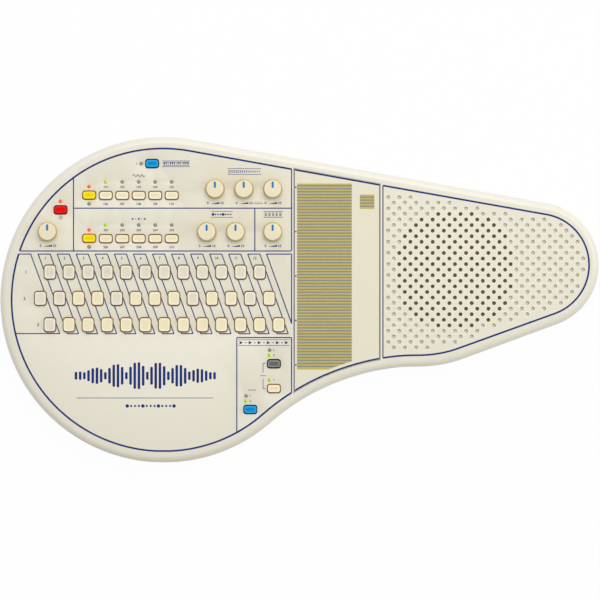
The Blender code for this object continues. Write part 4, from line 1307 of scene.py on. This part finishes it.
def cap(form, x, y, size, draft, corner, lip, low, high):
    """A key cap with leaning sides, a soft edge and a dished top, standing on its lip."""
    under = UNDER_PANEL_Z - LIP_DOWN
    wide, deep = size

    def shape(inset):
        """The cap's outline: below 0 out over the lip, up to 1 through the draft, and then over its edge."""
        leant = min(1.0, max(0.0, inset))
        step_x = min(inset, 0.0) + leant * draft[0] + max(0.0, inset - 1)
        step_y = min(inset, 0.0) + leant * draft[1] + max(0.0, inset - 1)
        radius = LIP_CORNER if inset < 0 else max(0.5, corner - 0.5 * (inset - leant))
        return rounded(x, y, wide - 2 * step_x, deep - 2 * step_y, radius)

    # The lip and the foot of the side are in painted shade, and the edge takes a painted highlight.
    profile = [(-lip, low, 1), (-lip, under, 1), (0.0, under, 1)]
    profile += [(share, PANEL_Z + up, tone) for share, up, tone in CAP_SIDE]
    for turn, tone in zip(quarter(len(EDGE_TONES) - 1), EDGE_TONES):
        inset = KEY_FILLET * (1 - math.cos(turn))
        profile.append((1 + inset, high - KEY_FILLET * (1 - math.sin(turn)), tone))
    inner = 1 + KEY_FILLET
    for step, share, tone in DISHED_TOP:
        profile.append((inner + step, high - KEY_DISH * share, tone))
    form.stack(profile, shape)


def key_marks(number, x, y):
    """Closed shapes on the tops of the first four keys: two bars, three dots, and arrows down and up."""
    if number == 1:
        return [bar(x - 2.0, y, 0.9, 6.0), bar(x + 2.0, y, 0.9, 6.0)]
    if number == 2:
        return [circle(x, y + step, 0.75, 14) for step in (-2.6, 0.0, 2.6)]
    tip = -1 if number == 3 else 1
    return line([(x - 3.0, y - tip * 1.2), (x, y + tip * 1.6), (x + 3.0, y - tip * 1.2)], 0.9)


def key_plastic(name, face, deep, edge, roughness=0.36, gloss=0.3):
    """Plastic with the keys' fine grain."""
    return moulded(name, face, roughness, deep, edge, grain=0.3, depth=0.006, specular_ior_level=gloss)


key_plastics = {
    "key_stone": key_plastic("warm_grey_key_plastic", STONE, STONE_PAINTED_SHADE, STONE_PAINTED_HIGHLIGHT),
    "key_cream": key_plastic("cream_key_plastic", IVORY, IVORY_PAINTED_SHADE, IVORY_PAINTED_HIGHLIGHT),
}
slot_of = {part["node"]: part["material_slot"] for part in frame["record"]["subparts"]}
for name, (x, y) in chord_places.items():
    low, high = box(name)
    form = Form()
    cap(form, x, y, CHORD_SIZE, CHORD_DRAFT, CHORD_CAP_CORNER, CHORD_LIP, low.z, high.z)
    kind, number = name.split("_")[2:]
    if kind == "major" and int(number) <= MARKED_KEYS:
        face = high.z - KEY_DISH
        form.layer(key_marks(int(number), x, y), [], face - MARK_ROOT, face + MARK_HEIGHT, tone=MARK_TONE)
    fit(form.made(name + "_cap", key_plastics[slot_of[name]]), name, slot_of[name], name)

# Function keys
# Oblong caps of the same moulding for power, banks, chords and rhythm, in red, blue, yellow, dark grey and
# cream. The two rows of five are each one strip of caps on a thin web.

FUNCTION_CAP_CORNER = 2.2
# The strip's web: less wide and less deep than its solid, and how far up from its foot it lies.
WEB_LESS = (0.4, 3.0)
WEB_LOW, WEB_HIGH = 0.1, 1.3
# Colours of the face, of the painted shade on the sides and of the painted highlight on the edges.
SHADES = {
    "key_red": ((232, 14, 8), (140, 6, 8), (244, 40, 34)),
    "key_blue": ((0, 148, 212), (8, 60, 110), (60, 172, 228)),
    "key_yellow": ((248, 226, 0), (226, 130, 10), (255, 238, 70)),
    "key_dark": ((107, 110, 103), (30, 30, 28), (150, 151, 144)),
}
for slot, shades in SHADES.items():
    key_plastics[slot] = key_plastic(slot + "_plastic", *shades, roughness=0.4, gloss=0.04)

for name in single_keys + key_strips:
    low, high = box(name)
    form = Form()
    places = caps(name) if name in key_strips else [middle(name)]
    for x, y in places:
        cap(form, x, y, CAP_SIZE, CAP_DRAFT, FUNCTION_CAP_CORNER, CAP_LIP, low.z, high.z)
    if name in key_strips:
        web_width, web_depth = high.x - low.x - WEB_LESS[0], high.y - low.y - WEB_LESS[1]
        web = rounded(*middle(name), web_width, web_depth, LIP_CORNER)
        form.post(web, low.z + WEB_LOW, low.z + WEB_HIGH)
    fit(form.made(name + "_caps", key_plastics[slot_of[name]]), name, slot_of[name], name)

# Knobs
# Seven moulded cream knobs, pushed on the shafts of rotary controls. Each has a flat cap with a soft edge
# and a blue pointer pressed into its top.

KNOB_COLOUR = (238, 227, 193)
# The knob's side is painted with shade and its top edge with a highlight.
KNOB_PAINTED_SHADE = (212, 186, 106)
KNOB_PAINTED_HIGHLIGHT = (246, 238, 212)
POINTER_BLUE = (0, 122, 206)
KNOB_STEPS = 80
KNOB_TOP_RADIUS = 8.9
KNOB_FREE = 0.4
KNOB_FILLET = 1.3
# Tones round the edge, from the side to the top, which lies a little below the pointer's face.
# Above 0 a tone is painted shade on the side, below 0 a painted highlight on the top edge.
KNOB_TONES = (1.0, 1.0, 0.9, 0.8, 0.4, -0.7, -1.0)
KNOB_TOP_DOWN = 0.05
KNOB_EDGE_DOWN = 0.06
KNOB_TOP_EDGE = 0.8
# A knob's foot and side: its soft edge, and rings off the foot and off the top by radius and by height.
KNOB_FOOT_EDGE = 0.4
FOOT_RING = (0.1, 2.0)
TOP_RING = (0.15, 0.8)
SHAFT_BORE, BORE_FLARE = 3.4, 0.1
BORE_DEPTH = 7.3
POINTER_START, POINTER_END = 0.8, 7.2
POINTER_WIDTH = 2.15
POINTER_CORNER = 0.4 * POINTER_WIDTH
POINTER_DEPTH = 1.0
POINTER_EDGE = (0.12, 0.05)


def knob(x, y, low, high):
    """A knob from its bore round its foot and side to its flat top."""
    form = Form()
    base_radius = (high.x - low.x) / 2 - KNOB_FREE
    profile = [
        (SHAFT_BORE, low.z + BORE_DEPTH, 1),
        (SHAFT_BORE + BORE_FLARE, low.z, 1),
        (base_radius - KNOB_FOOT_EDGE, low.z, 1),
        (base_radius, low.z + KNOB_FOOT_EDGE, 1),
        (base_radius - FOOT_RING[0], low.z + FOOT_RING[1], 1),
        (KNOB_TOP_RADIUS + TOP_RING[0], high.z - KNOB_FILLET - TOP_RING[1], 1),
    ]
    for turn, tone in zip(quarter(len(KNOB_TONES) - 1), KNOB_TONES):
        radius = KNOB_TOP_RADIUS - KNOB_FILLET * (1 - math.cos(turn))
        profile.append((radius, high.z - KNOB_EDGE_DOWN - KNOB_FILLET * (1 - math.sin(turn)), tone))
    profile.append((KNOB_TOP_RADIUS - KNOB_FILLET - KNOB_TOP_EDGE, high.z - KNOB_TOP_DOWN, 0))
    form.stack(profile, round_about(x, y, KNOB_STEPS))
    return form


def knob_pointer(x, y, top):
    """The pointer's bar, with a soft edge on its face."""
    form = Form()
    middle_y, length = y + (POINTER_START + POINTER_END) / 2, POINTER_END - POINTER_START
    shape = rounded(x, middle_y, POINTER_WIDTH, length, POINTER_CORNER)
    profile = [(0, top - POINTER_DEPTH), (0, top - POINTER_EDGE[1]), (POINTER_EDGE[0], top)]
    form.stack(profile, lambda inset: grown(shape, -inset))
    return form


knob_plastic = moulded(
    "knob_plastic", KNOB_COLOUR, 0.35, KNOB_PAINTED_SHADE, KNOB_PAINTED_HIGHLIGHT, grain=0.35, depth=0.006, specular_ior_level=0.25
)
pointer_plastic = moulded(
    "pointer_blue_plastic", POINTER_BLUE, 0.4, grain=0.3, depth=0.005, cloud=0.04, specular_ior_level=0.1
)
for name, (x, y) in knob_places.items():
    low, high = box(name)
    fit(knob(x, y, low, high).made(name + "_cap", knob_plastic), name, "knob", name)
    fit(knob_pointer(x, y, high.z).made(name + "_pointer", pointer_plastic), name, "key_blue")

# Bottom case
# The lower shell, moulded from the same cream plastic. Its tongue fits inside the upper shell, screws go
# up through its wells, and it holds the battery bay and the recess with the sockets.

BASE_Z = box("battery_cover")[0].z
BOTTOM_DRAFT = 0.8
BOTTOM_EDGE = 9.0
BOTTOM_STEPS = 10
TONGUE_OUT, TONGUE_IN = 2.9, 4.1
TONGUE_TOP = 31.0
# The bay's width, depth and height, and the ledge round it that the cover lies on.
BAY = (116.0, 62.0, 18.0)
BAY_WALL = 2.2
BAY_CORNER = 2.0
LEDGE = 4.0
COVER_GAP = 0.3
COVER_SEAT = 2.3
COVER_SEAT_CORNER = 3.3
# Screw wells: angles round the body, and places in the neck.
WELL_RADIUS = 3.6
WELL_DEPTH = 8.0
WELL_EDGE = 0.4
BOSS_WALL = 1.6
ROUND_STEPS = 28
BODY_WELLS = (55, 125, 180, 235, 305)
BODY_WELL_CIRCLE = 140.0
NECK_WELLS = [(20.0, 108.0), (25.0, -55.0), (190.0, 70.0), (190.0, -20.0), (276.0, 35.0)]
# A sunk field for a rating label, which is left blank.
BLANK_FIELD = (BODY_X, -72.0, 62.0, 26.0)
BLANK_CORNER, BLANK_DEPTH, BLANK_EDGE = 3.0, 0.4, 0.2
# The recess in the far side: width, height and depth, and how its mouth flares. The wall round it leans
# in at its lower end, as the case's round edge does.
RECESS = (64.0, 12.5, 6.0)
RECESS_CORNER = 2.5
RECESS_FLARE = 3.0
RECESS_LEAN = 1.95
RECESS_ASIDE = -4.0
SOCKET_Z = 16.0
SOCKET_HOLE = 5.5
SOCKET_PITCH = 20.0
SOCKET_STEPS = 32
BOARD_BOSSES = ((-271.6, 27.9), (-136.6, -109.75), (-84.45, 136.15), (-10.15, 14.75), (37.55, 14.75))
BOARD_BOSS_RADIUS, BOARD_BOSS_LOW, BOARD_BOSS_STEPS = 3.5, 43.5, 24
# Pieces that are moulded in one run this far into each other.
ROOT = 0.2


def round_body(radius, degrees):
    """Places round the middle of the body at these angles."""
    turns = [math.radians(angle) for angle in degrees]
    return [(BODY_X + radius * math.cos(turn), radius * math.sin(turn)) for turn in turns]


screw_places = round_body(BODY_WELL_CIRCLE, BODY_WELLS) + NECK_WELLS
recess_x = BODY_X + RECESS_ASIDE
recess_y = BODY_RADIUS - RECESS[2]
sockets = [recess_x + step * SOCKET_PITCH for step in (-1, 0, 1)]


def pit(form, shape, low, high, edge=0.0):
    """A sunk place in a face that looks down: its outline grown by a soft edge. Gives its first ring."""
    rings = [form.ring(grown(shape, edge), low)] if edge else []
    rings += [form.ring(shape, low + edge), form.ring(shape, high)]
    form.skin(rings)
    form.fill(rings[-1])
    return rings[0]


def upright(form, shape, low, high):
    """Skins a shape carried straight up, open at both ends. Gives its end rings."""
    return form.tube([(0, low), (0, high)], lambda inset: shape)


def bottom_case():
    """The closed shell with its tongue, wells, bosses, battery bay and the seat of the cover."""
    form = Form()
    corner_z = BASE_Z + BOTTOM_EDGE
    floor_z = BASE_Z + WALL
    profile = [
        (TONGUE_IN + INNER_CHAMFER, floor_z),
        (TONGUE_IN, floor_z + INNER_CHAMFER),
        (TONGUE_IN, TONGUE_TOP),
        (TONGUE_OUT, TONGUE_TOP),
        (TONGUE_OUT, PARTING_Z),
        (PARTING_CHAMFER, PARTING_Z),
        (0.0, PARTING_Z - PARTING_CHAMFER),
    ]
    for turn in quarter(BOTTOM_STEPS):
        inset = BOTTOM_DRAFT + BOTTOM_EDGE * (1 - math.cos(turn))
        profile.append((inset, corner_z - BOTTOM_EDGE * math.sin(turn)))
    shell = form.tube(profile, outline)
    seat_z, bay_z = BASE_Z + COVER_SEAT, BASE_Z + BAY[2]
    bay_shape = rounded(BODY_X, 0.0, BAY[0], BAY[1], BAY_CORNER)
    seat_size = [side + 2 * (LEDGE + COVER_GAP) for side in BAY[:2]]
    seat_shape = rounded(BODY_X, 0.0, *seat_size, COVER_SEAT_CORNER)
    seat_profile = [(COVER_GAP, BASE_Z), (0.0, BASE_Z + COVER_GAP), (0.0, seat_z)]
    seat = form.tube(seat_profile, lambda out: grown(seat_shape, out) if out else seat_shape)
    bay = upright(form, bay_shape, seat_z, bay_z)
    form.fill(seat[-1], [bay[0]])
    form.fill(bay[-1])
    blank = rounded(*BLANK_FIELD, BLANK_CORNER)
    below = [seat[0], pit(form, blank, BASE_Z, BASE_Z + BLANK_DEPTH, BLANK_EDGE)]
    inside = []
    for x, y in screw_places:
        bore = circle(x, y, WELL_RADIUS, ROUND_STEPS)
        below.append(pit(form, bore, BASE_Z, BASE_Z + WELL_DEPTH, WELL_EDGE))
        boss = circle(x, y, WELL_RADIUS + BOSS_WALL, ROUND_STEPS)
        column = upright(form, boss, floor_z, BASE_Z + WELL_DEPTH + WALL)
        form.fill(column[-1])
        inside.append(column[0])
    tier = upright(form, grown(seat_shape, BAY_WALL), floor_z, seat_z + BAY_WALL)
    walls = upright(form, grown(bay_shape, BAY_WALL), seat_z + BAY_WALL, bay_z + BAY_WALL)
    form.fill(tier[-1], [walls[0]])
    form.fill(walls[-1])
    form.fill(shell[-1], below)
    form.fill(shell[0], inside + [tier[0]])
    return form


def along_y(form):
    """Turns a form that was built along Z so that it lies along Y."""
    form.points = [(x, z, y) for x, y, z in form.points]
    return form


def reshaped(piece, tool, operation):
    """A Boolean worked out at once, so that the piece keeps a plain mesh."""
    change = piece.modifiers.new("change", "BOOLEAN")
    change.operation = operation
    change.object = tool
    graph = bpy.context.evaluated_depsgraph_get()
    result = bpy.data.meshes.new_from_object(piece.evaluated_get(graph))
    piece.modifiers.clear()
    piece.data = result
    result.set_sharp_from_angle(angle=SHARP)
    bpy.data.objects.remove(tool)


lower_shell = bottom_case().made("bottom_case_moulding", case_plastic)
thick = Form()
wide, inner_y = RECESS[0] / 2 + WALL, recess_y - WALL
block = strip_of(side_of(outline(WALL / 2), inner_y, 1, 1), recess_x - wide, recess_x + wide)
reach = RECESS[1] / 2 + WALL
profile = [(RECESS_LEAN, SOCKET_Z - reach), (0, SOCKET_Z - reach + 2 * RECESS_LEAN), (0, SOCKET_Z + reach)]
thick.stack(profile, lambda lean: [(x, y - lean * (y > inner_y + 1)) for x, y in block])
reshaped(lower_shell, thick.made("recess_wall", case_plastic), "UNION")
tool = Form()
mouth = rounded(recess_x, SOCKET_Z, RECESS[0], RECESS[1], RECESS_CORNER)
flare_y = recess_y + RECESS[2] - RECESS_FLARE / 2
profile = [(0, recess_y), (0, flare_y), (RECESS_FLARE, flare_y + RECESS_FLARE)]
tool.stack(profile, lambda out: grown(mouth, out))
reshaped(lower_shell, along_y(tool).made("recess", case_plastic), "DIFFERENCE")
for x in sockets:
    tool = Form()
    tool.post(circle(x, SOCKET_Z, SOCKET_HOLE, SOCKET_STEPS), inner_y - 3, recess_y + 3)
    reshaped(lower_shell, along_y(tool).made("socket_hole", case_plastic), "DIFFERENCE")
fit(lower_shell, "case", "case", "bottom_case")

bosses = Form()
for place in BOARD_BOSSES:
    boss = circle(*place, BOARD_BOSS_RADIUS, BOARD_BOSS_STEPS)
    bosses.post(boss, BOARD_BOSS_LOW, UNDER_PANEL_Z + ROOT)
fit(bosses.made("board_bosses", case_plastic), "case", "case")

# Sockets
# Three round sockets for the supply, the output and headphones, soldered to an upright board. Plated nuts
# hold two of them to the recess, and the supply's is black plastic.

STEEL_PLATED = (196, 192, 182)
BLACK = (38, 37, 36)
SOCKET_BORE = 3.25
COLLAR_STEPS = 36
# Radius and Y of each ring of a collar: its bore, its face with soft edges, its flange and its neck.
COLLAR = (
    (SOCKET_BORE, 154.3), (SOCKET_BORE, 157.9), (SOCKET_BORE + 0.4, 158.3), (5.5, 158.3), (5.9, 157.9),
    (5.9, 157.0), (5.35, 157.0), (5.35, 154.3),
)


def collars(places):
    """A hollow collar round each of these sockets."""
    form = Form()
    for x in places:
        rings = [form.ring(circle(x, SOCKET_Z, radius, COLLAR_STEPS), y) for radius, y in COLLAR]
        form.skin(rings + rings[:1])
    return along_y(form)


nut_metal = Finish("plated_steel", STEEL_PLATED, 0.28, metallic=1.0)
brushed = nut_metal.noise(size=0.5, detail=4.0)
nut_metal.feed(nut_metal.shader, {"Roughness": brushed * 0.2 + 0.2})
nut_metal.dented(brushed, depth=0.008)
black_plastic = moulded("black_plastic", BLACK, 0.45, cloud=0.08)
fit(collars(sockets[1:]).made("socket_nuts", nut_metal.material), "case", "screw")
fit(collars(sockets[:1]).made("supply_socket_collar", black_plastic), "case", "rubber")

# Feet and screws
# Five soft rubber feet with a hollow underside, glued on, and ten plated cross-head screws. The screws
# stand in wells and draw the two shells together.

RUBBER = (54, 52, 50)
FOOT_RADIUS = 9.0
FOOT_ROUND = 1.2
FOOT_STEPS, FOOT_EDGE_STEPS = 40, 5
FEET_CIRCLE = 118.0
# Radius and height of each ring of a foot's hollow, from its middle.
FOOT_HOLLOW = [(2.0, 0.6), (5.0, 0.55), (6.2, 0.25), (6.9, 0.0)]
HEAD_RADIUS = 2.9
HEAD_LOW = 9.4
HEAD_SUNK = 0.1
# Radius and height of each ring of a screw's head, from its side to its face.
HEAD_SOFT = [(HEAD_RADIUS, HEAD_LOW + 1.1), (2.6, HEAD_LOW + 0.4), (2.1, HEAD_LOW)]
CROSS_ARM, CROSS_REACH, CROSS_DEPTH = 0.42, 1.75, 1.2

feet = round_body(FEET_CIRCLE, (45, 135, 225, 315)) + [(NOSE_X, NOSE_Y)]


def rubber_feet():
    """A round foot at each place, with a soft edge."""
    form = Form()
    profile = list(FOOT_HOLLOW)
    for turn in quarter(FOOT_EDGE_STEPS):
        radius = FOOT_RADIUS - FOOT_ROUND + FOOT_ROUND * math.sin(turn)
        profile.append((radius, FOOT_ROUND * (1 - math.cos(turn))))
    profile.append((FOOT_RADIUS, BASE_Z + ROOT))
    for place in feet:
        form.stack(profile, round_about(*place, FOOT_STEPS))
    return form


def screws():
    """Pan heads with a sunk cross, looking down out of their wells."""
    form = Form()
    arm, long = CROSS_ARM, CROSS_REACH
    cross = [(arm, long), (-arm, long), (-arm, arm), (-long, arm), (-long, -arm), (-arm, -arm)]
    cross += [(-arm, -long), (arm, -long), (arm, -arm), (long, -arm), (long, arm), (arm, arm)]
    for x, y in screw_places:
        profile = [(HEAD_RADIUS, BASE_Z + WELL_DEPTH + HEAD_SUNK), *HEAD_SOFT]
        rings = form.tube(profile, round_about(x, y, ROUND_STEPS))
        form.fill(rings[0])
        slot = [(x + a, y + b) for a, b in cross]
        form.fill(rings[-1], [pit(form, slot, HEAD_LOW, HEAD_LOW + CROSS_DEPTH)])
    return form


rubber = moulded("black_rubber", RUBBER, 0.8, grain=0.8, depth=0.03, cloud=0.1)
fit(rubber_feet().made("rubber_feet", rubber), "case", "rubber")
fit(screws().made("case_screws", nut_metal.material), "case", "screw")

# Battery cover
# A flat lid moulded from the case's plastic, which shuts the battery bay and hooks in at its far edge. A
# finger groove and a ribbed field show where it is pushed.

COVER_CORNER = 3.0
# Inset and height of each ring of the lid's soft edge.
COVER_EDGE = ((0.5, 0.0), (0.12, 0.15), (0.0, 0.5))
# Width, length and depth of the finger groove.
GROOVE = (18.0, 5.0, 1.2)
GROOVE_CORNER, GROOVE_EDGE = 2.2, 0.3
# The ribbed field: fine grooves, each shorter than the last.
RIBS = 6
RIB_START, RIB_PITCH = 17.0, 2.6
RIB_LENGTH, RIB_SHORTER = 26.0, 2.4
RIB_WIDTH, RIB_CORNER, RIB_DEPTH, RIB_EDGE = 1.1, 0.5, 0.5, 0.1


def battery_cover(low, high):
    """The lid with its soft edge, its groove and its ribs."""
    form = Form()
    x, y = middle("battery_cover")
    shape = rounded(x, y, high.x - low.x, high.y - low.y, COVER_CORNER)
    profile = [(inset, low.z + up) for inset, up in COVER_EDGE] + [(0.0, high.z)]
    shell = form.tube(profile, lambda inset: grown(shape, -inset))
    groove = rounded(x, low.y + 2 * GROOVE[1], GROOVE[0], GROOVE[1], GROOVE_CORNER)
    pits = [pit(form, groove, low.z, low.z + GROOVE[2], GROOVE_EDGE)]
    for i in range(RIBS):
        rib_y, length = low.y + RIB_START + RIB_PITCH * i, RIB_LENGTH - RIB_SHORTER * i
        rib = rounded(x, rib_y, length, RIB_WIDTH, RIB_CORNER)
        pits.append(pit(form, rib, low.z, low.z + RIB_DEPTH, RIB_EDGE))
    form.fill(shell[0], pits)
    form.fill(shell[-1])
    return form


low, high = box("battery_cover")
cover = battery_cover(low, high).made("battery_cover_lid", case_plastic)
fit(cover, "battery_cover", "case", "battery_cover")

# Battery contacts
# Plates of sheet metal and cone springs of wire, both plated, at the ends of two rows of four AA cells.
# They are pushed into the bay's walls and into the moulded rib between the rows.

CELLS = 4
CELL_PITCH = 15.2
CELLS_UP = 2.0
PLATE_THICKNESS = 0.5
PLATE_WIDTH, PLATE_HEIGHT = 11.0, 9.0
PLATE_OFF_END, PLATE_OFF_MIDDLE = 0.35, 1.35
SPRING_OFF = 0.45
SPRING_TURNS = 4.5
SPRING_TURN_STEPS = 16
SPRING_LENGTH = 7.0
SPRING_WIDE, SPRING_NARROW = 4.4, 2.6
SPRING_WIRE = 0.45
# Width and corner of the rib between the rows, and how far below the cells' middle it reaches.
DIVIDER = (2.0, 0.4)
DIVIDER_DOWN = 7.0

cell_rows = [(i - (CELLS - 1) / 2) * CELL_PITCH for i in range(CELLS)]
bay_middle = BASE_Z + BAY[2] / 2 + CELLS_UP
bay_left, bay_right = BODY_X - BAY[0] / 2, BODY_X + BAY[0] / 2
# Where the plates stand along X, in both rows, and the way each one faces.
plates = [
    (bay_left + PLATE_OFF_END, 1),
    (bay_right - PLATE_OFF_END, -1),
    (BODY_X - PLATE_OFF_MIDDLE, -1),
    (BODY_X + PLATE_OFF_MIDDLE, 1),
]


def contact_plates():
    """A flat plate at both ends of every cell."""
    form = Form()
    for x, side in plates:
        for y in cell_rows:
            plate = bar(x, y, PLATE_THICKNESS, PLATE_WIDTH)
            form.post(plate, bay_middle - PLATE_HEIGHT / 2, bay_middle + PLATE_HEIGHT / 2)
    return form


def contact_springs():
    """Cone springs along X on every second plate of both rows."""
    curve = bpy.data.curves.new("battery_springs", "CURVE")
    curve.dimensions = "3D"
    curve.bevel_depth = SPRING_WIRE * MM
    curve.bevel_resolution = 2
    left, right, inner_left, inner_right = [(x + side * SPRING_OFF, side) for x, side in plates]
    steps = int(SPRING_TURNS * SPRING_TURN_STEPS)
    for column, pair in enumerate(((left, inner_left), (right, inner_right))):
        for row, y in enumerate(cell_rows):
            x, side = pair[(row + column) % 2]
            spline = curve.splines.new("POLY")
            spline.points.add(steps)
            for i, point in enumerate(spline.points):
                share = i / steps
                turn = 2 * math.pi * SPRING_TURNS * share
                radius = SPRING_WIDE + (SPRING_NARROW - SPRING_WIDE) * share
                along = x + side * SPRING_LENGTH * share
                place = (along, y + radius * math.cos(turn), bay_middle + radius * math.sin(turn))
                point.co = (*Vector(place) * MM, 1.0)
    curve.materials.append(nut_metal.material)
    return placed("battery_springs", curve)


fit(contact_plates().made("battery_plates", nut_metal.material), "case", "screw")
fit(contact_springs(), "case", "screw")
divider = Form()
wall = rounded(BODY_X, 0.0, DIVIDER[0], BAY[1] + 2 * ROOT, DIVIDER[1])
divider.post(wall, bay_middle - DIVIDER_DOWN, BASE_Z + BAY[2] + ROOT)
fit(divider.made("battery_divider", case_plastic), "case", "case")

# Circuit board
# One glass-fibre board under the panel, green with solder mask and screwed to bosses. It carries rubber
# contact strips, switches, rotary controls and an upright board with the sockets, all soldered on.

BOARD_COLOUR = (38, 92, 58)
PARTS_COLOUR = (52, 50, 48)
# Parts stand above the board's face and, on the upright board, beyond this Y.
BOARD_FACE = 43.3
SOCKET_BODY_Y = 142.2
TRACES = {"Scale": 90.0, "Distortion": 6.0, "Detail": 1.0}

board_node = bpy.data.objects["main_board"]
board = Finish("solder_mask_and_parts", BOARD_COLOUR, 0.4)
level = board.add("ShaderNodeSeparateXYZ", {}, {0: board.place}, "Z")
above, behind = level > BOARD_FACE * MM, level.other("Y") > SOCKET_BODY_Y * MM
bands = {"wave_type": "BANDS", "bands_direction": "DIAGONAL"}
traces = board.add("ShaderNodeTexWave", bands, {"Vector": board.place, **TRACES}, "Fac")
mask = board.blend(traces > 0.7, board.colour, board.shaded(0.35))
parts = board.add("ShaderNodeMath", {"operation": "MAXIMUM"}, {0: above, 1: behind})
face = board.blend(parts, mask, linear(PARTS_COLOUR))
board.feed(board.shader, {"Base Color": face, "Roughness": parts * 0.25 + 0.4})
board.dented(board.noise(size=0.6), depth=0.02)
board_node.data.materials.clear()
board_node.data.materials.append(board.material)
